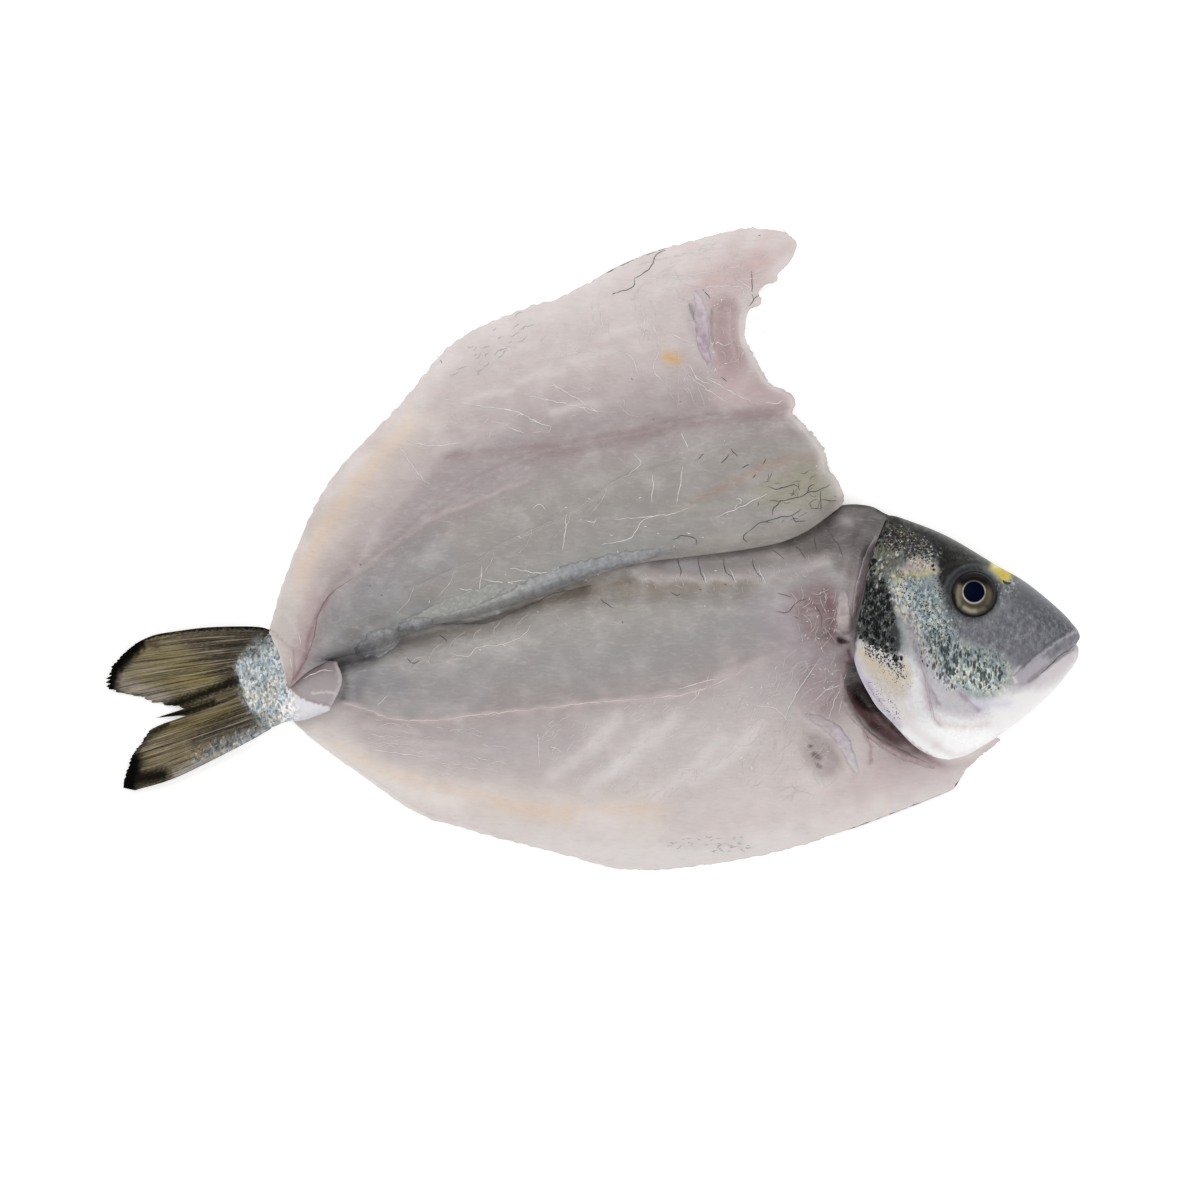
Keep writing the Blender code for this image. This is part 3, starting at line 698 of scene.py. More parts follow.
# The silver skin of the stalk, which runs forward along its lower side in a tongue.
STALK_SKIN = [
    (-93.2, -42.6), (-88.6, -46.2), (-80.6, -48.6), (-80.6, -50), (-91.9, -55), (-104, -60), (-116, -60),
    (-116, -26), (-94, -24), (-92, -32.1), (-92, -39),
]
STALK_MARKS = [
    area(STALK_SKIN, 0.3, "#e4e2e6", 1),
    area([(-92, -60), (-94.5, -53), (-95.6, -47), (-93, -40), (-90, -30), (-96, -20), (-120, -20),
        (-120, -62)], 3, "#b7babc", 0.9),
    stroke([(-98, -24.6), (-101, -28), (-106, -31.2), (-111, -34.6)], 1.2, "#5a5b5a", 0.8),
    stroke([(-98.4, -28.2), (-101, -30.6), (-104.4, -32.8)], 1.7, "#686a6e", 0.75),
    stroke([(-98, -33.5), (-103, -35.5), (-102.5, -39)], 2.4, "#9fadb6", 0.6),
    stroke([(-97.6, -54), (-101, -51.6)], 2.2, "#95918d", 0.6),
    stroke([(-99, -42), (-104, -44)], 2, "#b3aca4", 0.5),
    stroke([(-100, -57), (-92, -54), (-84, -51.5)], 1.6, "#c9c8cc", 0.6),
    stroke([(-93.4, -42.4), (-88.6, -46), (-80.9, -48.2)], 0.45, "#a8959a", 0.8),
    stroke([(-92.4, -41.4), (-88.4, -38.4), (-84, -36.2)], 1.8, "#6c5f60", 0.85),
    stroke([(-86, -44.4), (-81, -44), (-77.8, -45)], 0.4, "#d8cfce", 0.7),
    stroke([(-79, -34.8), (-77.6, -41), (-80.6, -48.6)], 0.6, "#c4bcbd", 0.6),
]


def make_stalk():
    """The raised stalk: raw in front, silver behind, and its skin dives under the root of the fin."""
    obj, s, t, upper = start_slab("tail_stalk", (130, 110))
    t = crowded(t)
    points = stalk_plan(s, t)
    swell = STALK_RIM + STALK_SWELL * (1 - np.abs(2 * t - 1) ** 3.2) ** 0.5
    half = swell * (1 - 0.35 * s**2 - 0.58 * step(s, 0.5, 1.0))
    middle = STALK_MIDDLE + 1.4 * (1 - s) ** 2 - 0.9 * step(s, 0.5, 1)
    skin = inside(points, STALK_SKIN, 0.25)
    half = half * (1 - 0.3 * step(0.1 - s, 0, 0.1)) - 0.7 * (1 - skin) + 0.1 * wobble(points, 2.5, 61)
    scaled = inside(frayed(points, 0.3, 2.2, 64), SCALED, 0.7)
    middle = middle - 2.6 * (1 - scaled) * step(s, 0.5, 0.75)
    half = half + 0.3 * wobble(points * [0.4, 1.3], 4.2, 63) * step(s, 0.5, 0.8)
    half = np.maximum(half + (0.5 - 4.0 * (1 - scaled)) * step(s, 0.45, 0.6), 0.2)
    put_corners(obj, points, np.where(upper, middle + half, middle - half))
    base = ramp(points[:, 1], [(-50, "#b3abb0"), (-45, "#aba2a3"), (-40, "#a1989a"), (-36, "#8d8182")])
    set_tint(obj, paint(base, points, STALK_MARKS, 0.3, 2.0))
    silver = skin * step(-points[:, 0] + 1.5 * wobble(points, 4, 62), 88, 96)
    set_masks(obj, fleck=0.9 * silver, speck=0.2 * silver, mottle=0.6 * silver)
    return finish(obj, HEAD_SKIN)


stalk = make_stalk()


# ---------------------------------------------------------------- tail fin


def fin_middle(s, t):
    """Height of the fin's middle: it sinks to the table towards its tips and waves a little across."""
    return 5.6 - 4.0 * s**1.4 + 0.8 * np.cos(math.tau * t) * s


FIN_MARKS = [
    area([(-99, -23), (-112, -23.4), (-124, -24.6), (-128, -28), (-120, -35), (-112, -40), (-104, -33)], 4,
        "#463f39", 0.8),
    stroke([(-142, -32), (-128, -34), (-120, -37)], 3, "#857a4c", 0.5),
    stroke([(-138, -39), (-126, -40), (-117, -41)], 2.2, "#8a7c48", 0.6),
    stroke([(-147, -40), (-139, -43.4), (-131, -46.4)], 2.4, "#a59b92", 0.75),
    stroke([(-142, -36), (-134, -38)], 3, "#8f8574", 0.5),
    stroke([(-133, -55), (-121, -53.4), (-112, -50)], 2.2, "#837440", 0.6),
    stroke([(-136, -60), (-122, -58.4), (-112, -54)], 3, "#6f624d", 0.5),
    stroke([(-102.6, -29), (-107.5, -36), (-105.5, -46), (-100, -55)], 2.4, "#a5a9ab", 0.8, 3),
    stroke([(-106, -52.4), (-114, -55.6), (-122, -59)], 2.2, "#4d4642", 0.7),
    stroke([(-103, -55.6), (-110, -58.4), (-118, -61.8)], 1.8, "#77767a", 0.7),
    stroke([(-107, -52.6), (-116, -55.4), (-123, -58.6)], 0.9, "#484341", 0.8),
    stroke([(-104, -58.2), (-118, -64.8), (-128, -69.6)], 1.5, "#a9a8ab", 0.8),
    stroke([(-101, -57.2), (-108, -60.4)], 2.2, "#a9a9ad", 0.8),
]
FIN_BLACKS = [
    ([(-99, -24.2), (-112, -24), (-124, -24.8), (-133, -26.2), (-140, -28.4)], 0.8, 0.97, 3),
    ([(-100, -26.4), (-106, -28.4), (-112, -31.4)], 2, 0.5, 2),
    ([(-140.6, -28.8), (-145, -33.4), (-148.4, -37.6), (-149.4, -42)], 3.4, 1, 6),
    ([(-149.6, -43), (-142.6, -45.2), (-136.6, -47.6)], 0.8, 0.7, 2),
    ([(-110, -40.6), (-120, -44.6), (-132.6, -49)], 1.9, 0.95, 3),
    ([(-122, -46.4), (-130, -48.6)], 1.6, 0.6, 2),
    ([(-117, -47.2), (-126, -50.2), (-136, -52.6)], 1.2, 0.95, 3),
    ([(-131, -54), (-136.8, -57)], 1.3, 0.9, 2), ([(-137, -57), (-140, -61), (-143, -66)], 2, 0.85, 2),
    ([(-143.6, -73.6), (-142, -69.6), (-142, -65)], 4.2, 1, 4),
    ([(-141, -70.8), (-136, -70.2), (-132.6, -69.6)], 3, 0.97, 3),
    ([(-139, -28), (-134, -30)], 1.2, 0.6, 2),
]
FIN_SILVERS = [
    ([(-102.6, -29), (-107.5, -36), (-105.5, -46), (-100, -55)], 2.8, 1, 3),
    ([(-101, -55.6), (-112, -59.6), (-122, -63.6)], 2.6, 0.9, 3),
]


def make_fin():
    """The forked tail fin: rays with a web between them, and a rear edge that is a little torn."""
    obj, s, t, upper = start_slab("tail_fin", (90, 500))
    across = np.stack([t * 260, 0 * t], 1)
    fork = bell(t - 0.4, 0.12)
    torn = 0.5 + 0.5 * wobble(across, 5, 71) * (0.6 + 0.4 * wobble(across, 1.6, 72))
    length = 1 + (0.02 - torn * (0.03 + 0.05 * fork)) * step(s, 0.5, 1)
    points = patch(fin_base, fin_tips, fin_upper, fin_lower, t, s * length, start_reach=7.0, end_reach=9.0)
    rays = 0.16 * np.cos(math.tau * FIN_RAYS * t) + 0.07 * wobble(across, 3, 73)
    half = FIN_THICK / 2 * (1 + 2.0 * (1 - s) ** 4) * (1 - 0.6 * step(s, 0.8, 1)) + rays * (1 - s) ** 0.3
    middle = fin_middle(s, t)
    put_corners(obj, points, np.where(upper, middle + half, middle - half))
    base = ramp(s, [(0, "#504c46"), (0.3, "#6a604d"), (0.6, "#857960"), (0.85, "#7d7259"), (1, "#6b6151")])
    colours = paint(base, points, FIN_MARKS, 0.6, 2.5)
    loose = frayed(points, 0.5, 2.0, 74, 1.4)
    black = cover(loose, FIN_BLACKS)
    set_tint(obj, blend(colours, srgb("#080706"), black))
    silver = cover(loose, FIN_SILVERS)
    set_masks(obj, fleck=silver * (1 - black), streak=(1 - 0.75 * silver) * (1 - black), mottle=0.5 * silver)
    rays_uv = obj.data.uv_layers.new(name="rays")
    rays_uv.data.foreach_set("uv", np.stack([s, t], 1)[corners_of_faces(obj)].ravel())
    return finish(obj, FIN)


fin = make_fin()
TAIL_TREES = trees_of(stalk, fin)


# ---------------------------------------------------------------- the two fillets


def near_plan(s, t):
    """Place on the near fillet, at shares of the way from tail to front and from back to belly."""
    return patch(near_inner, near_outer, None, near_front, s, t)


def near_top(s, t, points):
    """Height of the near fillet: the loin, its rise at the nape, and the furrows and ridges on it."""
    nape_rise = 3.5 * s**3 * (1 - t) ** 2
    loin = FILLET_THICK * near_length(s) * near_across(t) + nape_rise
    loin = loin * (1 - 0.2 * step(s, 0.985, 1.0)) + relief(points, FLESH_RELIEF + NEAR_FINE)
    return np.maximum(loin + 0.3 * wobble(points, 22, 1) * step(t, 0.02, 0.3), FLAP_EDGE)


def far_plan(s, t):
    return patch(far_inner, far_outer, None, far_front, s, t, end_reach=6.0)


def far_top(s, t, points):
    loin = FILLET_THICK * far_length(s) * far_across(t) + relief(points, FLESH_RELIEF + FAR_FINE)
    return np.maximum(loin + 0.3 * wobble(points, 24, 2) * step(t, 0.1, 0.4), FLAP_EDGE)


NEAR_LINE_A = [
    (-84, -18), (-80.7, -13.1), (-73.4, -8.2), (-63.2, -0.2), (-51.7, 7.9), (-44.3, 11.6), (-34.1, 15.3),
    (-28.2, 18), (-19.6, 21),
]
NEAR_LINE_B = [
    (-76, -14), (-71.2, -4.5), (-66.2, 7.3), (-56.6, 17.4), (-48, 28.2), (-40, 33), (-29.8, 37),
    (-22.4, 37.8),
]
NEAR_PINK_LINE = [
    (-44.3, 28.2), (-29.8, 29.8), (-15.3, 31.3), (-7.9, 30.4), (-0.6, 32.6), (13.9, 35.6), (33.5, 39.3),
    (42, 40.5), (62, 43.4),
]
NEAR_CELLS = [
    (-57.4, -12.4), (-52.3, -10.6), (-46.4, -7.9), (-40, -5.1), (-34.1, -2.9), (-29.8, 0.6), (-20.2, 5.1),
    (-15.3, 7.3), (-7.9, 10.8), (-0.6, 15.3), (6, 20.2), (12.5, 23.3), (19, 24.6), (27, 27.6),
]
FAR_PALE_LINE = [
    (-76.4, -47.4), (-69, -49.5), (-62.5, -52), (-55.2, -52.8), (-46.4, -52.6), (-37.8, -51.3),
    (-31.1, -50.6), (-20.2, -49.5), (-12.9, -48.8), (-2, -47.4), (8.8, -46.6),
]
FAR_PALE_LINE_END = [(8.8, -46.6), (25.2, -45.2), (32.2, -43.7), (39.5, -41), (47.7, -36.5)]
FAR_CELLS = [
    (-58.8, -35.6), (-56.6, -37.5), (-51.5, -34.1), (-49.3, -35.6), (-44.9, -34.6), (-42.1, -32.7),
    (-37.8, -32.4), (-34.1, -30.6), (-26.1, -28.7), (-15.9, -27.6),
]
GROOVE = [
    (-92, -41.5), (-87.2, -37.2), (-79, -35.6), (-71.1, -34.4), (-64, -31.5), (-60, -26.4), (-49.3, -23.2),
    (-36.3, -22.6), (-29.8, -21.1), (-20.2, -17.4), (-8.6, -12.2),
]
GROOVE_LINE = [
    (-50.3, -23.2), (-43.5, -22.9), (-36.4, -23), (-30.5, -22.1), (-21.6, -18.2), (-16.6, -16.2),
    (-11.7, -13.6), (-5.7, -12.4), (1, -10.8),
]
COMB_EDGE = [
    (15, -9.4), (19, -9.2), (22.7, -11.2), (25, -8.4), (28.2, -7.9), (31, -8.6), (35, -11.2), (37.5, -8.6),
    (43.7, -10.4), (46.5, -8.6), (52.9, -10.8), (56, -8.6), (61, -9.6), (68, -6), (76, -3.6),
]
NEAR_FINE = [
    (NEAR_LINE_A, 0.9, -0.35), (NEAR_LINE_B, 2, 0.25), (NEAR_PINK_LINE, 1.3, -0.3),
    (NEAR_CELLS, 0.7, -0.25), ([(13, 1.6), (15.4, 8.6), (21.1, 10.8), (38.4, 10), (46.4, 13.3)], 0.8, -0.3),
    ([(35, 62), (31, 70), (31, 74)], 1.2, -0.8),
]
FAR_FINE = [
    (FAR_PALE_LINE, 0.8, 0.4), (FAR_CELLS, 0.7, -0.25), (COMB_EDGE, 1.2, 0.15),
    ([(61.5, -50), (66, -41), (70, -33.5)], 1.2, -0.7), ([(70, -49.5), (74.5, -44.5), (79.5, -41)], 1, 0.8),
    ([(83.5, -54), (89, -58.4), (96, -62), (106, -66.5)], 1.6, 1.2), ([(77.4, -28.3)], 1, -1.6),
    ([(69.5, -63.8)], 1.3, -0.7),
]

NEAR_ACROSS = [
    (-60, "#8f9190"), (-44, "#97938f"), (-30, "#9c9794"), (-12, "#9b9591"), (-4, "#9a9090"), (0, "#9a8b8b"),
    (5, "#a09394"), (13, "#b3a6a6"), (24, "#c6bab8"), (38, "#d0c5c3"), (60, "#d5c9c7"),
]
NEAR_MARKS = [
    # Cream along the belly edge, and the grey and pink near the tail.
    stroke([(-54, 40), (-69, 22), (-82.5, 3), (-92, -14)], 9, "#d3c7c0", 0.55),
    stroke([(-57, 39), (-72, 22), (-85.3, 2.4), (-93.6, -14)], 3.4, "#e0c8b0", 0.55),
    area([(-80.7, -13.1), (-63.2, -0.2), (-44.3, 11.6), (-19.6, 21), (-20.2, 33), (-31, 35), (-42, 31),
        (-56.6, 15.4), (-71.2, -5.5)], 4, "#a39899", 0.75),
    area([(-99.5, -25), (-98.4, -14), (-93, -8), (-89.4, -16), (-89.6, -28), (-92.6, -36), (-96, -36)], 3,
        "#cfc7c2", 0.8),
    area([(-82, -30), (-78, -18), (-68, -12), (-56, -14), (-60, -22), (-74, -29)], 4, "#84868a", 0.5),
    stroke(NEAR_LINE_B, 2, "#c4b9b8", 0.3),
    stroke(NEAR_LINE_A, 0.8, "#bdaeac", 0.55),
    stroke(NEAR_PINK_LINE, 1.7, "#998486", 0.5),
    stroke([(-24, 29), (-8, 29.5), (8, 32.5)], 4, "#9b8d8e", 0.5),
    area([(-84, -36), (-82, -16), (-66, -4), (-52, 5), (-40, -4), (-54, -14), (-66, -25)], 5, "#8d8a8c",
        0.7),
    stroke([(15, 89), (40, 96.5), (56, 96.5)], 5, "#cfbcbb", 0.5),
    # Pink of the free front tip, and the yellow fleck of fat.
    area([(34, 76), (52, 82), (58, 90), (60, 96), (44, 94), (30, 84)], 5, "#c8b0af", 0.75),
    stroke([(50.6, 90.8), (52.5, 89.8)], 2.4, "#c9a3a1", 0.5),
    stroke([(49, 85), (51, 79)], 2.4, "#c9adae", 0.5),
    stroke([(23.4, 59.4), (25.8, 58.8)], 2, "#cfa25a", 0.8),
    # Olive patch at the front of the loin, and the brown lines by it.
    area([(52, 14), (63, 12.8), (76, 14), (76, 22), (70, 26.7), (58, 24), (50, 19)], 3.5, "#9b9782", 0.7),
    stroke([(31.3, 15.3), (44.1, 20.9), (53.5, 25.7), (63, 28.3), (72, 28.6)], 1.7, "#a08a7b", 0.55),
    stroke([(20, 11.2), (32, 12.4), (46.4, 15.3), (60, 20)], 1.2, "#a8a49c", 0.5),
    # The pocket at the front, with its pink walls and pale lip.
    area([(44, 56), (50, 52), (60, 48), (62, 44.6), (46, 44), (36, 46)], 3.5, "#c3aeae", 0.7),
    area([(37, 77), (41, 78), (45, 75), (44.6, 66), (46.5, 58), (44, 52), (38.6, 56), (36.6, 66)], 3.2,
        "#ab8d8f", 0.7),
    stroke([(43, 76), (43.4, 66), (46, 58)], 1.6, "#b9a09f", 0.5),
    area([(38, 58), (44, 60), (50, 54), (56, 48), (48, 48), (40, 52)], 3, "#bda5a6", 0.6),
    stroke([(37.2, 74), (36.9, 67), (37.8, 62.5)], 0.5, "#86737a", 0.6),
    stroke([(32.6, 78), (33.6, 68), (35.4, 60)], 2.4, "#c9bcc3", 0.65),
    stroke([(34.2, 66.5), (34.8, 63.5)], 0.9, "#a99bb6", 0.45),
    stroke([(28, 76), (29.6, 70), (30.6, 66)], 2.4, "#c5b6b9", 0.5),
    # Painted shade in the slit at the top of the pocket's lip.
    stroke([(30.2, 75.4), (31.4, 73), (32.2, 70.6)], 0.5, "#626065", 0.75, 3),
    # Along the back, from tail to nape.
    stroke([(-74, -25), (-60, -20), (-50, -16.6)], 3.2, "#7a7772", 0.65),
    stroke([(-60, -21), (-30, -13), (-8, -6), (10, 1), (24, 3.5)], 3, "#9a9c99", 0.6),
    stroke([(-84, -36), (-74, -30), (-60, -24.5), (-50, -20.5)], 3, "#77777a", 0.8),
    stroke([(-93, -41), (-92, -34), (-89, -24), (-85.5, -14)], 3, "#b29c9c", 0.55),
    stroke([(-91.5, -40), (-89, -35.5), (-87.5, -28), (-84.5, -20), (-80, -13)], 0.7, "#86666a", 0.65),
    stroke([(36, 1.5), (52, 4), (68, 8.5), (77, 14)], 2.4, "#a9a29a", 0.6),
    stroke([(72.5, 30), (76.5, 20), (77.5, 14)], 0.9, "#bdb2a2", 0.7),
    *[stroke([(x, y), (x + 7.0, y + 2.4), (x + 13.0, y + 3.0)], 1.5, "#e2dad8", 0.35) for x,
        y in ((-38.0, 46.0), (-22.0, 52.0), (-6.0, 58.0), (-30.0, 60.0), (4.0, 66.0), (-12.0, 42.0),
        (20.0, 80.0))],
]
FAR_ACROSS = [
    (-50, "#8f8d8c"), (-38, "#958f8a"), (-26, "#9d9894"), (-12, "#9b9797"), (-3, "#9f9897"), (0, "#ab9f9f"),
    (4, "#b2a8a8"), (12, "#b9b0b0"), (24, "#c3b9b7"), (34, "#cfc5c1"), (46, "#dbd2cf"),
]
FAR_MARKS = [
    # Cream along the belly edge.
    stroke([(-84, -58), (-64, -70.6), (-35, -77), (-6, -81.5), (17, -80)], 7, "#dfd5ce", 0.7),
    stroke([(-86, -59), (-72, -67), (-58, -73.6), (-44, -78.6)], 5, "#eee5df", 0.6),
    stroke([(-78, -61), (-62, -69), (-35.5, -75.4), (-18, -80.4), (4, -81), (17, -79)], 2.2, "#e2cab6",
        0.36),
    stroke([(-28, -79), (-18, -81), (-8, -82)], 3, "#e0c8b2", 0.4),
    stroke([(14, -80.5), (22, -80.6)], 2.6, "#dfc6b0", 0.4),
    # White film over the belly, in streaks.
    area([(-4, -52), (20, -50), (46, -46), (56, -60), (40, -76), (8, -74)], 7, "#cdc5c3", 0.6),
    *[stroke([(x, y), (x + 12.0, y + 9.0), (x + 20.0, y + 18.0)], 2.2, "#ded7d6", 0.55) for x,
        y in ((-2.0, -74.0), (6.0, -69.0), (20.0, -76.0), (32.0, -72.0), (-12.0, -70.0))],
    area([(-6, -82), (2, -80.6), (9, -84), (8, -88.6), (-2, -88)], 1.6, "#e0d7d5", 0.7),
    *[stroke([(x, y), (x + 8.0, y - 1.4), (x + 16.0, y - 2.0)], 1.3, "#cbc0bf", 0.4) for x,
        y in ((-66.0, -58.0), (-58.0, -62.0), (-70.0, -54.6), (-48.0, -60.0))],
    stroke([(30, -84), (60, -80), (90, -74), (108, -70)], 8, "#cfc3c2", 0.5),
    stroke([(-12, -92), (20, -96), (60, -90)], 4, "#dcd8d8", 0.6),
    # Pink and blood-red by the collar.
    area([(46, -14), (62, -12), (78, -6), (80, -28), (78, -44), (62, -40)], 8, "#a0949a", 0.7),
    area([(66, -36), (76, -34), (79, -44), (74, -54), (64, -50)], 3.5, "#a08d90", 0.7),
    area([(84, -60), (96, -64), (110, -69), (116, -70), (100, -76), (84, -80), (72, -82), (76, -72)], 5,
        "#ccbcbc", 0.7),
    area([(62, -13), (72, -10), (76, -16), (76, -30), (68, -29), (63, -21)], 3.5, "#7f6568", 0.82),
    # Strip along the back, with its comb of rib ends, and the dark nape.
    area([(14, -3), (16, -9.4), (24, -10), (35, -10.6), (52.9, -10.2), (64, -8.6), (72, -4.4), (74, 6),
        (72, 12), (50, 6), (30, 4)], 1.6, "#989190", 0.88),
    stroke([(14, -8), (24, -8.4), (40, -8.4)], 1.8, "#b9b1af", 0.6),
    stroke([(46, -7.6), (58, -6.4), (70, -4)], 2.2, "#b0a6a7", 0.6),
    stroke([(40, -0.6), (52, 0.6), (60, 2)], 1.8, "#7c7674", 0.7),
    area([(58, -0.6), (64, -1.6), (71, -1), (75, 4), (74, 9), (66, 7), (59, 4)], 2, "#66605d", 0.85),
    area([(24, -1.5), (32, -1.6), (34.5, -8), (28, -7), (23, -6)], 1, "#a5a0a2", 0.8),
    stroke([(-6, -14.4), (8, -13), (20, -13.6), (32, -13.4), (46, -12.6)], 3.6, "#7c756e", 0.72),
    *[stroke([(x, -12.4 + 0.3 * k), (x + 4.5, -12.1 + 0.3 * k)], 1.3, "#85765f", 0.6 - 0.05 * k) for k,
        x in enumerate((10.0, 17.0, 24.0, 31.0, 38.5, 46.5))],
    stroke([(-12, -15.2), (2, -11.4), (14, -9.6)], 1.5, "#6f6253", 0.7),
    stroke(COMB_EDGE, 0.9, "#bdb5b3", 0.3),
    area([(70.5, 3), (72, 11), (77, 14.5), (86, 14.5), (93, 10), (88, 3), (86, -5), (82, -8), (76, -6)], 2,
        "#625d5b", 0.92),
    # Painted wet highlight on the dark nape.
    stroke([(76.8, 9.4), (79.5, 8.2)], 1.9, "#aca5a5", 0.7),
    stroke([(71, 10.6), (77.6, 13.9), (85, 14), (92, 10.8)], 1.3, "#1a1714", 0.97, 3),
    # Collar bone, the gill hollow behind it and the throat.
    stroke([(84.4, -5), (82.4, -11), (80.6, -17)], 1.7, "#b0a2a3", 0.8),
    stroke([(79, -4), (80.4, -7.6), (80, -12)], 2.6, "#8b8180", 0.8),
    stroke([(72, -13.6), (73.2, -20), (73.8, -26)], 1.6, "#75575b", 0.6),
    # Painted shade in a small hole by the collar bone.
    stroke([(76.6, -27.6), (78.4, -28.6)], 0.9, "#35191c", 0.95, 4),
    stroke([(75.5, -25), (79.4, -26.8)], 0.5, "#d8cccc", 0.6),
    area([(77.5, -31), (79.6, -30), (80.5, -36), (80, -44), (77, -40), (75.5, -34)], 1.4, "#8d7479", 0.7),
    stroke([(79.6, -31.6), (80.4, -34.6)], 0.6, "#4a2a4c", 0.85, 3),
    area([(78.4, -35), (78, -43), (80.4, -48.3), (83.6, -52.6), (86.4, -55.3), (89.3, -57.8), (93.2, -60.4),
        (99.7, -61.2), (106, -62), (104, -54), (94, -44), (86, -32)], 0.8, "#755252", 0.97),
    # Painted shade: near black in the hollow under the edge of the gill cover, and a dark line along that edge.
    area([(79, -35), (78.4, -41), (80.6, -46), (83.6, -49.4), (86, -50.4), (90, -50), (88, -42), (84, -34)],
        0.9, "#1f0a0c", 0.98),
    stroke([(86, -47), (91, -53), (97, -58.4)], 1, "#2a1718", 0.85),
    stroke([(88.6, -53.6), (93, -57.2), (98, -60), (103, -61.6)], 1.5, "#745a5a", 0.7),
    stroke([(86.8, -53.8), (88.4, -55)], 1, "#4a3a36", 0.8),
    stroke([(95, -59), (100, -61.4), (106, -62.8)], 0.7, "#5d4549", 0.6),
    area([(84, -54), (90, -58.6), (100, -62.2), (112, -66.6), (121, -63.5), (126.5, -58.8), (117, -68),
        (108, -74), (96, -77), (86, -66)], 2.5, "#c6b5b6", 0.75),
    stroke([(84, -57), (86, -61), (86.2, -66)], 0.6, "#96696d", 0.5),
    stroke([(100, -62), (108, -66.6), (115, -67.2), (121, -63.6), (127, -58)], 1.5, "#998084", 0.8),
    # The pocket behind the gill hollow.
    area([(65.5, -56), (70, -57.5), (75, -60), (77.5, -66), (74, -70), (68, -68.5), (65, -62)], 2.6,
        "#98898b", 0.7),
    stroke([(67, -51.4), (72, -53.4), (76.4, -56.6), (79.4, -61), (82, -66)], 1.9, "#cdc2c9", 0.6),
    # Painted shade in the small holes of the pocket.
    stroke([(67.4, -60.8), (68, -60.8)], 0.5, "#4c3a3c", 0.9, 4),
    stroke([(69, -63.6), (70.2, -64.2)], 1, "#6f5455", 0.85, 4),
    stroke([(69.4, -66.6), (70.4, -67)], 0.7, "#6b4a4e", 0.8, 4),
    # The groove by the tail, the line of membrane and the muscle cells.
    area([(-93, -42), (-80, -35.5), (-66, -30.5), (-60, -30), (-66, -36), (-70, -43), (-76, -48)], 2.2,
        "#716d71", 0.65),
    area([(-80, -38), (-66, -36), (-56, -40), (-60, -45), (-76, -46)], 3, "#858387", 0.55),
    # Painted shadow beside the raised cut end of the stalk.
    stroke([(-77.4, -36.6), (-75.6, -41.5), (-76.8, -46)], 1.1, "#4d474b", 0.75),
    stroke([(-86, -38), (-72, -33.6), (-62, -28.4), (-54, -24.6)], 3.2, "#6b6869", 0.6),
    # Painted shade: a dark line along the groove under the edge of the near fillet.
    stroke(GROOVE, 0.9, "#4b494b", 0.8),
    stroke([(-30, -20.2), (-14, -15.4), (2, -11.6)], 3, "#7f756a", 0.55),
    stroke([(-60, -31), (-46, -26.5), (-34, -25), (-22, -21)], 2.2, "#7f776e", 0.5),
    stroke(FAR_PALE_LINE, 0.9, "#cdbfbc", 0.55),
    stroke(FAR_PALE_LINE_END, 1, "#c6b9b7", 0.5),
    stroke(FAR_CELLS, 0.7, "#b0aaa6", 0.6),
    area([(-70, -44), (-58, -47), (-44, -46.5), (-34, -49), (-44, -51.5), (-58, -51.8), (-68, -49)], 1.8,
        "#aba7a8", 0.5),
    area([(-32, -43), (-12, -41), (-8, -46.5), (-28, -48.5)], 2.5, "#9c9391", 0.5),
    stroke([(22, -90), (33, -91.8), (45, -90.4)], 1.6, "#bdb8b7", 0.4),
]


# Upper edge of the stalk and fin, which the corner of the near fillet lies over.
TAIL_EDGE = [(-86, -33.5), (-93, -30), (-99.5, -25), (-104, -23.8)]


def lift_over_tail(s, points, height):
    """Lifts the tail corner of the near fillet onto the stalk and the fin."""
    corner = step(0.17 - s, 0, 0.1)
    under = np.zeros(len(points))
    under[corner > 0] = height_at(points[corner > 0], TAIL_TREES)
    under = np.maximum(under, 6.4 * (1 - step(line_distance(points, TAIL_EDGE), 0, 10)))
    return height + corner * np.logaddexp(0, under + 0.7 - height)


def make_fillet(name, plan, top, across, line, marks, seed, near):
    """The flesh of a fillet: tones by the distance from its line of membrane, with marks over them."""
    obj, s, t, upper = start_slab(name, (400, 230))
    points = plan(s, t)
    tear = 0.1 + 0.35 * step(s, 0.6, 1) * (0.5 + 0.5 * wobble(points, 11, seed + 4))
    ragged = 0.25 * wobble(points, 5, seed) + tear * wobble(points, 1.6, seed + 1)
    edge = np.maximum(step(t, 0.985, 1.0), step(s, 0.99, 1.0))
    out = unit(points - [0, 0 if near else -45])
    points = points + out * (ragged * edge)[:, None]
    height = top(s, t, points)
    if near:
        height = lift_over_tail(s, points, height)
    lift = SKIN_THICK + 0.5 * step(t, 0.93, 1.0)
    put_corners(obj, points, np.where(upper, height, lift))
    belly_side = side_of(points, line) * (1 if near else -1)
    colours = ramp(belly_side + 1.5 * wobble(points, 8, seed + 3), across)
    colours = paint(colours, points, marks, 0.35, 7.0)
    # Painted light: the flesh is paler towards its thin edges, for light from the pale table shining through
    # them.
    rim = step(np.maximum(t, 1 - 5 * (1 - s)), 0.86, 1.0) * (0.6 + 0.2 * wobble(points, 9, seed + 2))
    if not near:
        rim = rim * (1 - step(points[:, 0], 66, 70) * step(points[:, 1], -6, 2))
    set_tint(obj, blend(colours, srgb("#e2dad8"), rim))
    set_mask(obj, sum(cover(points, [(line, width, share, 4)]) for line, width, share in NETS), "net")
    one_face(obj, ~upper)
    return finish(obj, FLESH)


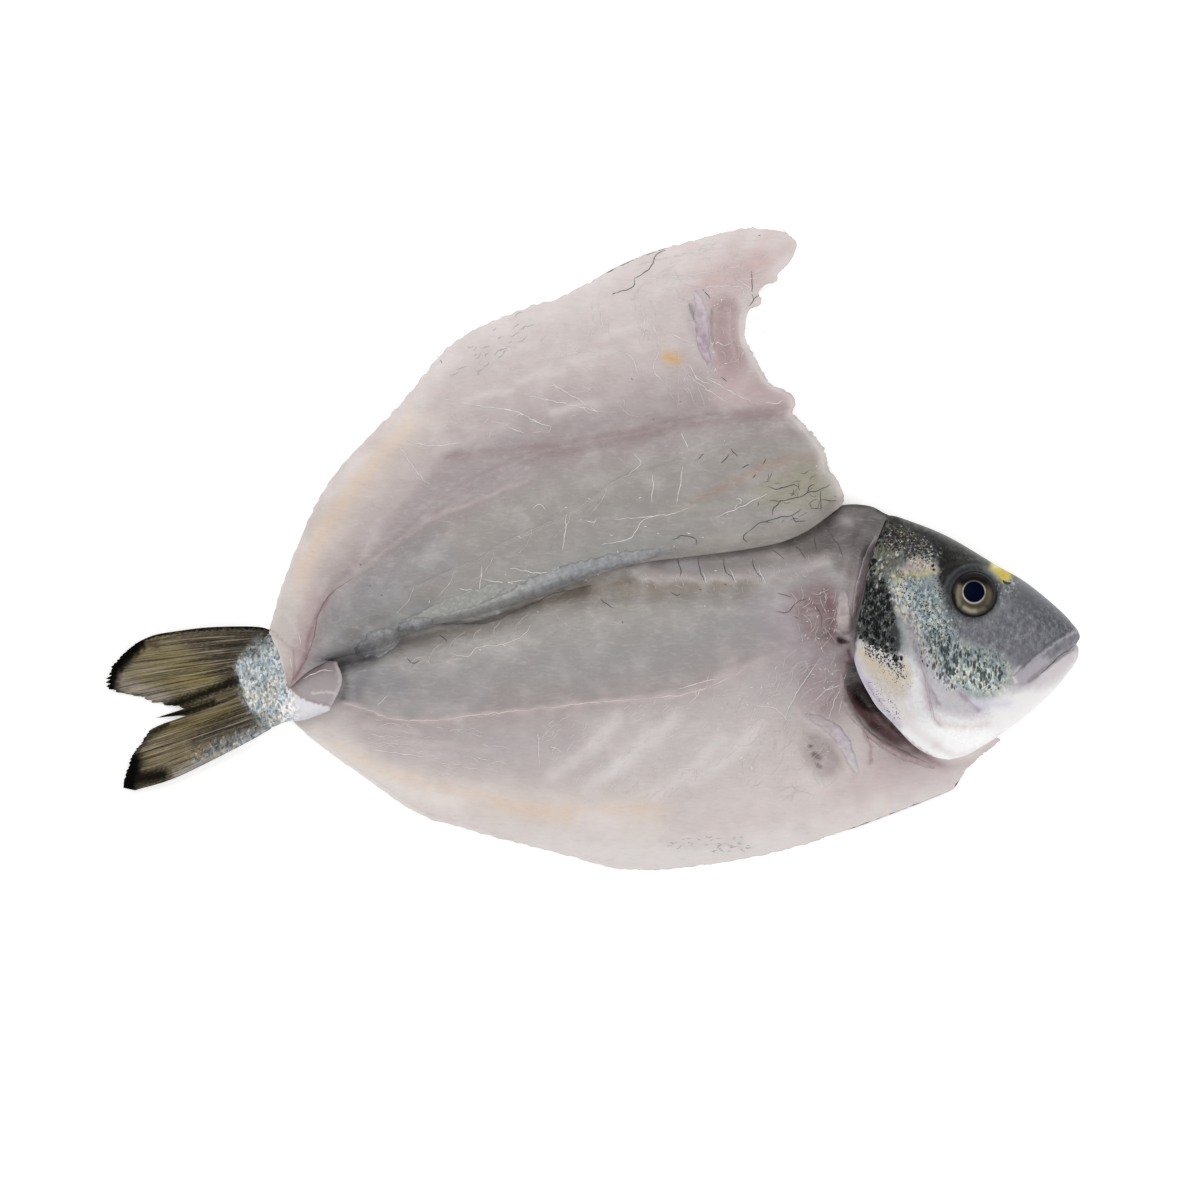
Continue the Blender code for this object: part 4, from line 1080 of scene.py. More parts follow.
# Where the threads between the muscle cells show: line, half width, strength.
NETS = [
    ([(-40, 0), (-10, 14), (20, 26), (50, 30)], 12, 0.4), ([(0, 4), (40, 12)], 6, 0.5),
    ([(-55, -34), (-30, -27), (0, -20), (40, -20)], 7, 0.6), ([(10, 46), (40, 50)], 8, 0.35),
    ([(60, -40), (50, -62), (80, -70)], 12, 0.4), ([(30, -4), (70, 2)], 5, 0.5),
    ([(70, -18), (78, -30)], 7, 0.6),
]
DARK_EDGES = [
    [(6, 85.6), (15, 90.3), (25, 93.6)], [(83, -86), (92, -82.4), (102, -78.6), (110, -74.2), (114.5, -70)],
]


def make_fillet_skin(name, plan):
    """The skin under a fillet. Along some of the belly edge it shows past the flesh as a thin dark line."""
    obj, s, t, upper = start_slab(name, (120, 60))
    points = plan(s, t)
    peek = cover(points, [(line, 3.0, 1.0, 6) for line in DARK_EDGES])
    share = 1.002 * peek + 0.985 * (1 - peek)
    points = plan(s * 0.985, t * share)
    put_corners(obj, points, np.where(upper, SKIN_THICK - 0.02, 0.02) + 0.5 * step(t, 0.93, 1.0))
    back_to_belly = [(0, "#3c4140"), (0.12, "#5b615f"), (0.4, "#a4a8aa"), (0.75, "#cfd0d2"), (1, "#b8b6b5")]
    marks = [stroke(line, 3.0, "#4a3b3b", 0.9, 6) for line in DARK_EDGES]
    set_tint(obj, paint(ramp(t, back_to_belly), points, marks))
    set_masks(obj, fleck=0.5 + 0 * s, blot=0.3 * step(0.3 - t, 0, 0.3))
    return finish(obj, BODY_SKIN)


near_flesh = make_fillet(
    "near_fillet_flesh", near_plan, near_top, NEAR_ACROSS, NEAR_SEPTUM, NEAR_MARKS, seed=11, near=True
)
far_flesh = make_fillet(
    "far_fillet_flesh", far_plan, far_top, FAR_ACROSS, FAR_SEPTUM, FAR_MARKS, seed=21, near=False
)
make_fillet_skin("near_fillet_skin", near_plan)
make_fillet_skin("far_fillet_skin", far_plan)


# ---------------------------------------------------------------- the head


def head_plan(s, t):
    return patch(head_chin, head_crown, head_rear, head_snout, s, t, start_reach=3.0, end_reach=5.0)


def head_half(s, t):
    """Half the thickness of the head, which rounds off to the crown and to the chin by two curves."""
    off = 2 * t - 1
    crown_side = (1 - np.abs(off) ** 2.6) ** (1 / 2.3)
    chin_side = (1 - np.abs(off) ** 2.4) ** (1 / 1.9)
    return HEAD_RIM + (HEAD_HALF - HEAD_RIM) * head_length(s) * np.where(off > 0, crown_side, chin_side)


HEAD_MARKS = [
    # The pale lower half, gill cover and chin.
    area([(99, -61.5), (86, -47), (80, -33), (84, -28), (98, -31), (104, -38), (112, -44.5), (124, -46.5),
        (133, -41.5), (150, -31), (150, -40), (128, -60), (112, -68)], 3, "#e3e1e3", 0.95),
    area([(100, -62), (94, -56), (102, -54), (114, -53), (124, -50), (130, -50), (128, -60), (112, -68)], 4,
        "#ffffff", 0.95),
    area([(118, -52), (128, -44), (140, -42), (150, -36), (146, -48), (130, -60)], 3, "#f1eeee", 0.85),
    # Grey nape and gill cover, blue-grey behind the eye.
    area([(83, -10), (90, -1), (98, 3), (104, 1.5), (107, -4), (108.5, -14), (104, -26), (97, -32),
        (88, -26)], 2.5, "#848a8a", 0.95),
    area([(84, -6), (88.5, 2), (92, 8), (98, 6), (103, 3.2), (105, -1), (97, -4), (90, -9), (86, -10)], 2.2,
        "#5e5c52", 0.9),
    area([(95, -10), (103, -10), (109, -16), (112, -24), (106, -31), (100, -27), (96, -20)], 2.5, "#929c9f",
        0.9),
    # Lead-grey snout.
    area([(108, -18), (116, -23), (126, -19), (134, -12), (145, -19), (150, -25), (147, -30), (134, -37.5),
        (126, -33), (114, -29)], 2.6, "#6b6b72", 0.92),
    area([(124, -8), (130, -9), (146, -21), (150, -25), (146, -27), (136, -22), (128, -15)], 2.4, "#56575c",
        0.7),
    # Cheek.
    area([(103, -30), (107, -25.5), (114, -27.5), (124, -31), (129, -36.5), (124, -44.5), (116.5, -45.4),
        (110, -39.5)], 1.8, "#8b9292", 0.9),
    area([(107, -34), (114, -36), (123, -37.5), (124.5, -43.5), (116.5, -44.6), (111, -40)], 2.2, "#b4bcbc",
        0.75),
    # Black crown and brow, with ochre behind the brow.
    area([(89.5, 11.6), (95.5, 10.6), (109.4, 5.4), (124.2, -3.4), (131, -8), (127, -8.6), (122, -6.2),
        (116, -5.4), (110.5, -8.5), (108.6, -13.5), (106.2, -7.5), (106, -2.5), (104, 1.4), (100, 4.6),
        (95, 7)], 1.3, "#12120e", 0.97),
    # Painted sheen: a grey line along the top edge of the black crown.
    stroke([(97, 9.6), (109, 4.6), (119, -1), (128, -6.6)], 1.3, "#6b6e66", 0.6),
    area([(96, -5.2), (99.5, -2.6), (103.5, -3.2), (106, -5), (106.2, -7.6), (100, -7.6), (95.4, -7.8)],
        1.1, "#ada098", 0.85),
    stroke([(93, -8.2), (98.3, -7.9), (102.5, -7.4), (105.4, -6.6)], 0.9, "#b9b07a", 0.6),
    stroke([(94.6, -8.6), (95, -12), (94.6, -16), (94.2, -18.6)], 0.8, "#a49c76", 0.5),
    # Gold spot in front of the eye.
    stroke([(124.6, -5.6), (126, -6.4), (127.4, -8.2)], 2.2, "#c9b93f", 0.95, 4),
    stroke([(126.6, -6.8), (127.2, -8)], 1, "#c7a22c", 0.7),
    stroke([(124, -4.8), (125.4, -5.2)], 0.8, "#dfe0b4", 0.7),
    stroke([(121.2, -6.6), (123, -7.6), (124.4, -9)], 1.1, "#a9b4ab", 0.7, 3),
    stroke([(128.6, -9.6), (129.8, -10.6)], 0.5, "#c8ccd2", 0.6),
    # Black blotch at the top of the gill cover, and the pale rim in front of it.
    area([(83.2, -11), (85.6, -8), (89.6, -8.6), (91.6, -12), (93.4, -19), (94.8, -25), (95, -31),
        (93, -33.4), (89, -30), (84.5, -29), (81.6, -24)], 0.9, "#28292a", 0.9),
    stroke([(94.2, -13), (96, -19), (98, -25), (98.8, -31)], 2, "#b0afac", 0.9),
    stroke([(82, -20), (81.2, -28), (80.4, -34)], 0.6, "#2a2224", 0.85, 3),
    # Cream and lilac on the gill cover.
    area([(81.4, -30.6), (84, -29.6), (90, -32.5), (97, -34), (98, -39), (96.5, -46), (90, -45), (84, -38)],
        2, "#c4beb8", 0.85),
    stroke([(83.6, -31.6), (86, -34.6), (91, -38.6), (94.4, -42)], 1.7, "#d2bf9f", 0.6),
    stroke([(97, -36), (97.6, -41)], 1.2, "#d0bfa2", 0.5),
    area([(97.5, -30), (101, -29), (104, -33), (110, -40.5), (116, -46), (122, -48), (118, -51), (108, -50),
        (103.6, -46), (100, -37)], 1.3, "#bcb8be", 0.8),
    area([(96, -18), (99, -20), (104, -30), (101, -36), (98, -28)], 1.4, "#9d979c", 0.75),
    stroke([(99.4, -29), (101.1, -34.6), (103.4, -41.4), (104.6, -48.8), (105.7, -52.2), (107.6, -54.6)],
        0.6, "#aba2a7", 0.45),
    stroke([(88, -44), (92, -47), (97, -50)], 2.6, "#d9cfce", 0.5),
    stroke([(96, -52), (100, -56), (106, -60)], 2.2, "#e3dadb", 0.6),
    stroke([(106, -60.4), (112, -63.4), (119, -61.6), (126, -57.6)], 1.2, "#d9cfd0", 0.5),
    stroke([(110, -50), (116, -51.6), (122, -50.6)], 1.2, "#cfc8ce", 0.6),
    stroke([(92, -53), (96, -57.4), (101, -61.4), (106, -64.6)], 0.5, "#b9aeb2", 0.7),
    stroke([(102.6, -41), (103.8, -49)], 1.3, "#b9abb3", 0.6),
    stroke([(104.8, -43.6), (107, -48)], 0.5, "#9c8a95", 0.6),
    stroke([(105.8, -52.4), (110, -54), (116, -54.6), (122, -53.6)], 1.2, "#d9c8c8", 0.5),
    stroke([(113.6, -44.6), (116, -46.6), (119, -49.2)], 0.9, "#8d7d90", 0.7),
    stroke([(117, -47), (121, -48), (128, -47.4)], 1.4, "#d6d2e0", 0.7),
    stroke([(84.6, -40.8), (86.4, -44), (90, -49), (95, -54.4)], 1, "#c3b9cc", 0.7),
    stroke([(81.2, -33.6), (83, -38.6), (86.8, -43.6)], 0.8, "#c6b9d4", 0.6),
    # Lips.
    area([(149.6, -24.4), (150.6, -28), (146, -30.6), (141, -34.6), (135, -40.8), (130.4, -41.6),
        (129.6, -38), (135, -33.4), (142, -28.4)], 0.9, "#7d7a82", 0.92),
    area([(138, -32.6), (141, -34.6), (135, -40.8), (130.6, -41.6), (129.8, -38.4), (134, -35.4)], 1.3,
        "#b9b3ba", 0.75),
    stroke([(130.6, -41), (130, -38.6), (132, -36.4)], 0.6, "#dcd8dc", 0.8),
    stroke([(130, -38.8), (136, -33), (143, -27.6), (148.8, -23.8)], 0.45, "#55555c", 0.7),
    stroke([(131, -38.8), (136.6, -33.8), (143.4, -28.6), (149.2, -25.2)], 0.45, "#a7a3ab", 0.7),
    area([(150.2, -30.4), (147, -31.4), (141, -36), (136.4, -40.6), (137, -43), (144, -40.4),
        (149.4, -34.6)], 2.2, "#cdc5c9", 0.8),
    stroke([(137, -39), (134, -42), (129.6, -43.4)], 1.2, "#b3abb1", 0.5),
]
FLECKS = [
    ([(90, 3), (96, 1.5), (102, -1)], 5.2, 0.95, 6), ([(88, -4), (89, -10)], 3.6, 0.9, 6),
    ([(94, -12), (101, -17), (107, -26)], 7, 0.9, 6), ([(105, -28), (112, -34)], 6, 0.85, 6),
    ([(112, -36), (122, -38)], 7, 0.95, 6), ([(86, -22), (88, -29)], 4.6, 0.6, 5),
    ([(116, -24), (138, -24)], 8, 0.12, 6), ([(90, -42), (98, -36)], 6, 0.14, 6),
    ([(100, -5), (105, -6)], 3, 0.4, 4), ([(122, -15), (128, -12)], 4, 0.5, 4),
    ([(104, -46), (116, -52)], 9, 0.08, 4),
]
BLOTS = [
    ([(84.6, -13.4), (86.4, -16)], 3, 1.3, 4), ([(84, -19), (88, -22)], 4.6, 1.15, 4),
    ([(86, -26), (91.2, -29.6)], 3.6, 0.95, 4), ([(90.2, -15), (91.6, -21)], 2.2, 0.8, 4),
    ([(93.5, -31), (94.2, -34)], 2, 0.7, 4), ([(85.6, -3), (85, -11)], 2.4, 0.8, 4),
    ([(88, -9), (89.4, -11.6)], 2, 0.9, 3), ([(87.6, 2), (91, 8)], 2.6, 0.7, 4),
    ([(95, 3), (101, 1)], 2.4, 0.45, 4), ([(104, 0), (107, -9)], 1.6, 0.5, 3),
]
SPECKS = [
    ([(86, -31), (93, -35), (95, -38)], 2.8, 0.6, 4), ([(86, -42), (90, -47)], 2.6, 0.33, 4),
    ([(91, -47), (94, -52)], 2.4, 0.38, 4), ([(92, 4), (103, 1)], 4.5, 0.75, 4),
    ([(97, -1), (104, -2.6)], 2.4, 0.6, 4), ([(106.4, -9), (107.4, -14)], 2, 0.5, 4),
    ([(90, -38), (97, -41)], 3, 0.3, 4), ([(98, -12), (104, -20), (108, -27)], 5, 0.42, 4),
]
MOTTLES = [
    ([(112, -26), (126, -26), (142, -24)], 9, 1, 4), ([(96, -8), (106, -30)], 10, 0.8, 4),
    ([(100, 4), (120, -3)], 5, 0.35, 4), ([(88, -20), (92, -30)], 6, 1, 4),
    ([(88, -44), (104, -50)], 8, 0.1, 4), ([(134, -36), (146, -28)], 3, 0.3, 4),
]
DASHES = [([(106, -31.5), (112, -35.5), (122, -38)], 6.4, 0.62, 5), ([(110, -40)], 5, 0.4, 4)]


def make_head():
    """The head on its side: relief above, and at the rear the hollow under the edge of the gill cover."""
    obj, s, t, upper = start_slab("head", (210, 210))
    s, t = crowded(s), crowded(t)
    points = head_plan(s, t)
    half = head_half(s, t)
    eye = line_distance(points, [EYE_CENTRE])
    rings = 0.16 * np.cos((eye - 7.4) * 3.6) * bell(eye - 8.8, 1.6)
    socket = -2.6 * (1 - step(eye, 5.6, 7.4)) + 0.5 * bell(eye - 8.0, 0.9) + rings
    rim_lift = 0.5 * bell(s - 0.012, 0.012) * step(t, 0.05, 0.2)
    fine = 0.12 * wobble(points, 2.2, 51) + 0.2 * wobble(points, 7, 52)
    folds = 0.5 * wobble(points * [2.0, 0.8], 5, 53) * bell(line_distance(points, NAPE_FOLDS), 3.2)
    high = HEAD_MIDDLE + half + relief(points, HEAD_RELIEF) + socket + rim_lift + fine + folds
    low = np.maximum(HEAD_MIDDLE - half, 0.0)
    along_gill = np.clip((t - 0.13) / 0.59, 0, 1)
    cavity = GILL_REACH * np.sin(math.pi * along_gill) ** 0.6
    under_lip = 1 - step(s, 0.92 * cavity, cavity + 0.002)
    low = low + (np.maximum(high - GILL_LIP, low) - low) * under_lip
    put_corners(obj, points, np.where(upper, high, low))
    base = ramp(points[:, 1], [(-60, "#e0dddd"), (-40, "#a9a8a9"), (-10, "#72767a"), (5, "#3c3d38")])
    colours = paint(base, points, HEAD_MARKS, 0.3, 2.4)
    banded = (0.32 + 0.26 * np.cos((eye - 7.2) * 3.0))[:, None] * [0.085, 0.085, 0.1]
    colours = blend(colours, banded, cover(points, [([(116.7, -13.7), (117.2, -13.4)], 8.9, 0.97, 12)]))
    inner = (1 - step(s, cavity, cavity + 0.03)) * ~upper
    set_tint(obj, blend(colours, srgb("#3a1f22"), inner))
    masks = {"fleck": FLECKS, "blot": BLOTS, "speck": SPECKS, "dash": DASHES, "mottle": MOTTLES}
    set_masks(obj, **{name: cover(points, marks) * (1 - inner) for name, marks in masks.items()})
    return finish(obj, HEAD_SKIN)


head = make_head()


# ---------------------------------------------------------------- eyes

# Tones by the distance from the middle of the eye.
EYE_RINGS = [
    (0, "#00061c"), (3.1, "#00061c"), (3.25, "#0a0a10"), (3.35, "#cfc5b4"), (3.5, "#c3b8a4"),
    (3.72, "#544d42"), (4.4, "#423e37"), (5.2, "#383531"), (5.8, "#201f1e"), (6.3, "#333336"),
    (7.2, "#1c1c1e"),
]
# Painted glints and veins of the iris, and the painted shadow of the brow over its top: a line from the eye's
# middle, its half width, tone and strength.
IRIS_ROWS = [
    ([(2, -2.8), (3.4, -0.4), (2.6, 2.2)], 0.4, "#5a5244", 0.75),
    ([(-3.3, 0.8), (-2.4, 2.4)], 0.4, "#6a6254", 0.6),
    ([(-4.6, -2.8), (-5, -0.4), (-4.4, 2.6)], 0.85, "#9c917a", 0.6),
    ([(-4, -1.6), (-4.1, 0.6)], 0.3, "#6f6a5c", 0.7),
    ([(-3, -4), (-1.2, -4.9), (0.4, -5)], 0.75, "#bdb39d", 0.65),
    ([(1.6, -4.9), (3, -4.2)], 0.7, "#80765f", 0.6),
    ([(4.2, -2.6), (4.9, -0.6), (4.6, 1)], 0.8, "#6d6450", 0.6),
    ([(-3.4, 4), (0, 5), (3.4, 4)], 1.5, "#0f0e0d", 0.95), ([(-5.6, -3.2), (-6.2, 0)], 0.5, "#0e0e18", 0.8),
]
EYE_MARKS = [
    stroke([(EYE_CENTRE[0] + x, EYE_CENTRE[1] + y) for x, y in line], width, code, strength)
    for line, width, code, strength in IRIS_ROWS
]


def make_eye(name, side):
    """An eyeball seated on its node, turned a little towards the crown, with pupil, iris and a dark rim."""
    deselect()
    bpy.ops.mesh.primitive_uv_sphere_add(segments=96, ring_count=96, radius=1)
    obj = bpy.context.object
    obj.name = obj.data.name = name
    low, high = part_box(name)
    centre = (low + high) / 2
    size = (high - low) / 2
    shape = corners(obj)
    out = np.sqrt(shape[:, 0] ** 2 + (shape[:, 1] * 0.97) ** 2) * EYE_RADIUS
    turned = Matrix.Translation(centre) @ Matrix.Rotation(math.radians(-side * EYE_TURN), 4, "X")
    obj.data.transform(turned @ Matrix.Diagonal((size.x, size.x, EYE_BULGE * MM, 1)))
    colours = ramp(out, EYE_RINGS)
    marked = paint(colours, corners(obj)[:, :2] / MM, EYE_MARKS)
    set_tint(obj, np.where((out > PUPIL_RADIUS)[:, None], marked, colours))
    turn_outward(obj)
    return finish(obj, EYE, name)


make_eye("eye_upper", 1)
make_eye("eye_under", -1)


# ---------------------------------------------------------------- bands and threads laid on the flesh

SURFACES = trees_of(near_flesh, far_flesh, stalk, fin)
HEAD_TOO = [*SURFACES, *trees_of(head)]


def make_band(name, line, widths, rise, tones, material, trees, wrinkle, wave):
    """A soft strap laid on the flesh along a line: half widths and tones along it, its crown this high."""
    length = length_of(line)
    obj, s, t, upper = start_slab(name, (max(8, int(length / 0.45)), 14))
    spine = curve_through(line)
    ahead = unit(spine(np.clip(s + 0.01, 0, 1)) - spine(np.clip(s - 0.01, 0, 1)))
    side = np.stack([-ahead[:, 1], ahead[:, 0]], 1)
    half = smooth_value(np.linspace(0, 1, len(widths)), widths)(s) * (1 + 0.18 * wobble(spine(s), 4, 5))
    points = spine(s) + side * (half * (2 * t - 1))[:, None]
    ground = height_at(points, trees)
    crown = np.sqrt(np.clip(1 - (2 * t - 1) ** 2, 0, 1)) * np.minimum(1, 6 * np.minimum(s, 1 - s) + 0.15)
    folds = wobble(np.stack([s * length, t * 2], 1), wave, 6)
    top = ground + (rise + BAND_SINK) * crown + wrinkle * folds * crown - BAND_SINK
    put_corners(obj, points, np.where(upper, top, ground - 0.7))
    colours = ramp(s + 0.05 * wobble(points, 3, 7), list(zip(np.linspace(0, 1, len(tones)), tones)))
    # Painted shade: darker in the troughs of the wrinkles and towards the band's sides.
    colours = colours * (1 - 0.45 * np.clip(-folds, 0, 1) * min(1, wrinkle * 4))[:, None]
    set_tint(obj, colours * (1 - 0.1 * (1 - crown))[:, None])
    return finish(obj, material)


# Name, line, half widths along it, rise, tones along it, and the depth and size of its wrinkles.
BANDS = [
    ("back_membrane_rope", [(-47, -20.6), (-38, -19.6), (-31.1, -18.2), (-23.9, -14.4), (-15.9, -10.8),
        (-5.7, -7), (5.2, -3.9), (14, -2.2), (26, 0)], [0.8, 1.8, 2.4, 3, 3, 2.8, 2.4, 1.8, 0.7], 0.8,
        ["#a0a19e", "#9c9d9b", "#949596", "#8c8d91", "#8f9093", "#9a9a98"], 0.12, 2.2),
    ("spine_edge_fold", [(-62, -24.6), (-54, -21.4), (-44, -17.6), (-34, -14.2), (-24, -9.6)],
        [0.8, 1.6, 2.4, 2.4, 0.8], 0.6, ["#828282", "#949490", "#999a95", "#979794"], 0.06, 3),
    ("tail_groove_lump", [(-73, -31.6), (-68.6, -30.2), (-64, -28), (-59, -26.4)], [1.2, 3.4, 4, 1.4], 1.2,
        ["#6f7074", "#7b7b7e", "#8c8b8c", "#868585"], 0.16, 3.4),
    ("tail_groove_fold", [(-60, -24.2), (-55, -23.2), (-49, -21.8)], [1.2, 2.2, 1], 1.3,
        ["#707175", "#929598", "#86888a"], 0.2, 1.6),
    ("collar_membrane", [(80.6, -22), (82, -15), (83.6, -8), (85.6, -1), (88, 4.6)],
        [0.5, 1.2, 1.2, 1, 0.4], 0.4, ["#b3a1a2", "#b1a1a2", "#ab9e9f", "#a09698", "#837d7e"], 0.14, 2.4),
    ("collar_bone", [(77.6, -12), (77.6, -17), (78, -22), (78.6, -26.4)], [0.6, 2, 2.6, 1.4], 0.5,
        ["#aa9c9b", "#bfb0af", "#c4b6b5", "#a89394"], 0.14, 2.6),
    ("near_pocket_flap", [(32, 80), (33.4, 75), (34.2, 67.5), (34.8, 61.5), (37, 56)],
        [0.6, 1.9, 2.1, 1.7, 0.5], 0.7, ["#d0c4c6", "#cdc1c7", "#bcabb6", "#b6a3ae", "#c6b5b8"], 0.12, 2.6),
    ("far_pocket_flap", [(66, -50.6), (71.6, -53.4), (76.2, -57), (79, -62), (82.4, -69.4)],
        [0.5, 1.7, 2, 1.7, 0.5], 0.6, ["#bdb0b1", "#c3b7ba", "#cabcc6", "#d0c6c9", "#d8cfd0"], 0.08, 3),
    ("throat_fold", [(82.8, -54), (87.6, -58.6), (95.6, -63.2), (106, -67.6)], [0.6, 1.2, 1.4, 0.5], 0.7,
        ["#a68f91", "#ad9799", "#b69fa1", "#b9a6a8"], 0.1, 3),
    ("collar_gristle", [(77.2, -37.6), (77.6, -44), (80.4, -50.6), (84.6, -56)], [0.5, 1.2, 1.5, 0.6], 0.5,
        ["#a89697", "#b09fa0", "#b7a8a8"], 0.1, 3),
]
for name, line, widths, rise, tones, wrinkle, wave in BANDS:
    make_band(name, line, widths, rise, tones, MEMBRANE, SURFACES, wrinkle, wave)
# The nape folds are black skin; the nostril's band is black for the painted shade in its hole.
for name, line in (
    ("nape_fold_a", [(91.4, 8.4), (93.0, 7.8), (95.4, 6.4)]),
    ("nape_fold_b", [(90.8, 5.6), (92.6, 5.4), (95.0, 3.6)]),
    ("nostril", [(126.4, -9.4), (127.8, -10.5), (129.4, -10.2)]),
):
    make_band(name, line, [0.2, 0.55, 0.2], 0.15, ["#12110f", "#0d0c0b", "#191816"], GAP, HEAD_TOO, 0.1, 1.5)


def make_threads(name, lines, tone, thick, sink=0.3):
    """Fine threads laid along the surface, each thinning out at its ends, as one piece."""
    curve = bpy.data.curves.new(name, "CURVE")
    curve.dimensions = "3D"
    curve.bevel_depth = thick * MM
    curve.bevel_resolution = 1
    curve.use_fill_caps = True
    for line in lines:
        share = np.linspace(0, 1, max(4, int(length_of(line) / 0.7)))
        path = frayed(curve_through(line)(share), 0.2, 3.0, 81)
        z = height_at(path, HEAD_TOO) + thick * (1 - 2 * sink)
        spline = curve.splines.new("POLY")
        spline.points.add(len(share) - 1)
        spline.points.foreach_set("co", np.column_stack([path * MM, z * MM, np.ones(len(z))]).ravel())
        width = 0.25 + 0.75 * np.sin(math.pi * share) ** 0.5 * (0.8 + 0.2 * wobble(path, 3, 83))
        spline.points.foreach_set("radius", width)
    obj = bpy.data.objects.new(name, curve)
    bpy.context.collection.objects.link(obj)
    pick(obj)
    bpy.ops.object.convert(target="MESH")
    turn_outward(obj)
    shade = 1 + 0.12 * wobble(corners(obj)[:, :2] / MM, 3, 84)
    set_tint(obj, srgb(tone)[None] * shade[:, None])
    return finish(obj, THREAD)


def scattered(outline, count, length, heading, spread, seed):
    """Short bowed lines, scattered inside an outline, that lie roughly along a heading in degrees."""
    rng = np.random.default_rng(seed)
    starts = rng.uniform(np.min(outline, 0), np.max(outline, 0), (count * 6, 2))
    lines = []
    for start in starts[inside(starts, outline, 0.1) > 0.5][:count]:
        angle = math.radians(heading + rng.uniform(-spread, spread))
        reach = length * rng.uniform(0.4, 1.3)
        along = np.array([math.cos(angle), math.sin(angle)]) * reach
        bow = np.array([-along[1], along[0]]) * rng.uniform(-0.25, 0.25)
        lines.append([start, start + along / 2 + bow, start + along])
    return lines


def cell_arcs(line, reach_x, reach_y, bow):
    """Short arcs that run off from points along a line of muscle cells."""
    at = curve_through(line)(np.linspace(0.04, 0.98, len(line)))
    return [[(x, y), (x + 0.5 * reach_x - bow, y + 0.5 * reach_y), (x + reach_x, y + reach_y)] for x, y in at]


WHITE_THREADS = [
    [(-33.8, -5.1), (-34.2, -9), (-34.8, -13.4)], [(-41, -12), (-35, -12.9)],
    [(-34.1, -9.1), (-27.6, -10.2), (-20.2, -9.4)], [(-25.3, -5.7), (-15.9, -7.3), (-10.8, -5.7)],
    [(-7.9, 10.8), (-8.2, 5), (-9, -0.2)], [(26, 14), (27.3, 20), (28, 26)],
    [(18.7, 23.3), (18.9, 19), (18.4, 14.4)], [(-26.8, 43.2), (-22.4, 42.5)],
    [(-22.4, 42.5), (-16.6, 39.2), (-12.2, 37.8)], [(-13.7, 52.3), (-10, 49.8), (-4.2, 46.4), (2.3, 42.1)],
    [(44.6, 15.8), (45.8, 15.6), (46, 14.4), (45, 13.9)], [(45, 13.9), (44, 12.6)],
    [(-2, 9), (-0.5, 8.4), (1, 8.6), (1.4, 9.6)],
    [(78.4, -38.5), (76.9, -43), (74.9, -47.2), (73.3, -52.3)],
    [(78.4, -41.6), (72.3, -43.6), (68.7, -47.2)],
    [(70.8, -33.4), (66.1, -40), (62.5, -45.7), (59.4, -52.3)],
    [(77.6, -40), (78.2, -43.4), (77, -47.5), (76.4, -50.5)],
    [(2.9, 1.4), (11.8, 3.5), (15.4, 8.6), (21.1, 10.8)], [(38.4, 10), (46.4, 13.3), (54, 17)],
    [(-89.9, -29.6), (-90.4, -25.4)], [(-92.4, -36.4), (-93, -33.6)], [(20.8, 61), (19, 56), (22, 51.5)],
    [(30, 57), (33, 52.5), (37, 50.8)], [(38.4, 64.2), (41, 63), (43.6, 64)],
    [(44, 84), (48.5, 81), (50.5, 77)], [(53.5, 45.4), (57, 45), (59, 46.2)],
    [(-18, 12.5), (-16, 14), (-14, 12)], [(34.2, -7), (35.8, -10.8)], [(42.6, -6), (44.8, -10.2)],
    [(51.6, -6), (53.8, -10.4)], [(-66, -48), (-63, -45)], [(99.6, -47.2), (103, -46.8)],
    [(96, -44.6), (99, -45.4)], [(30, 30.6), (27.6, 36)],
]
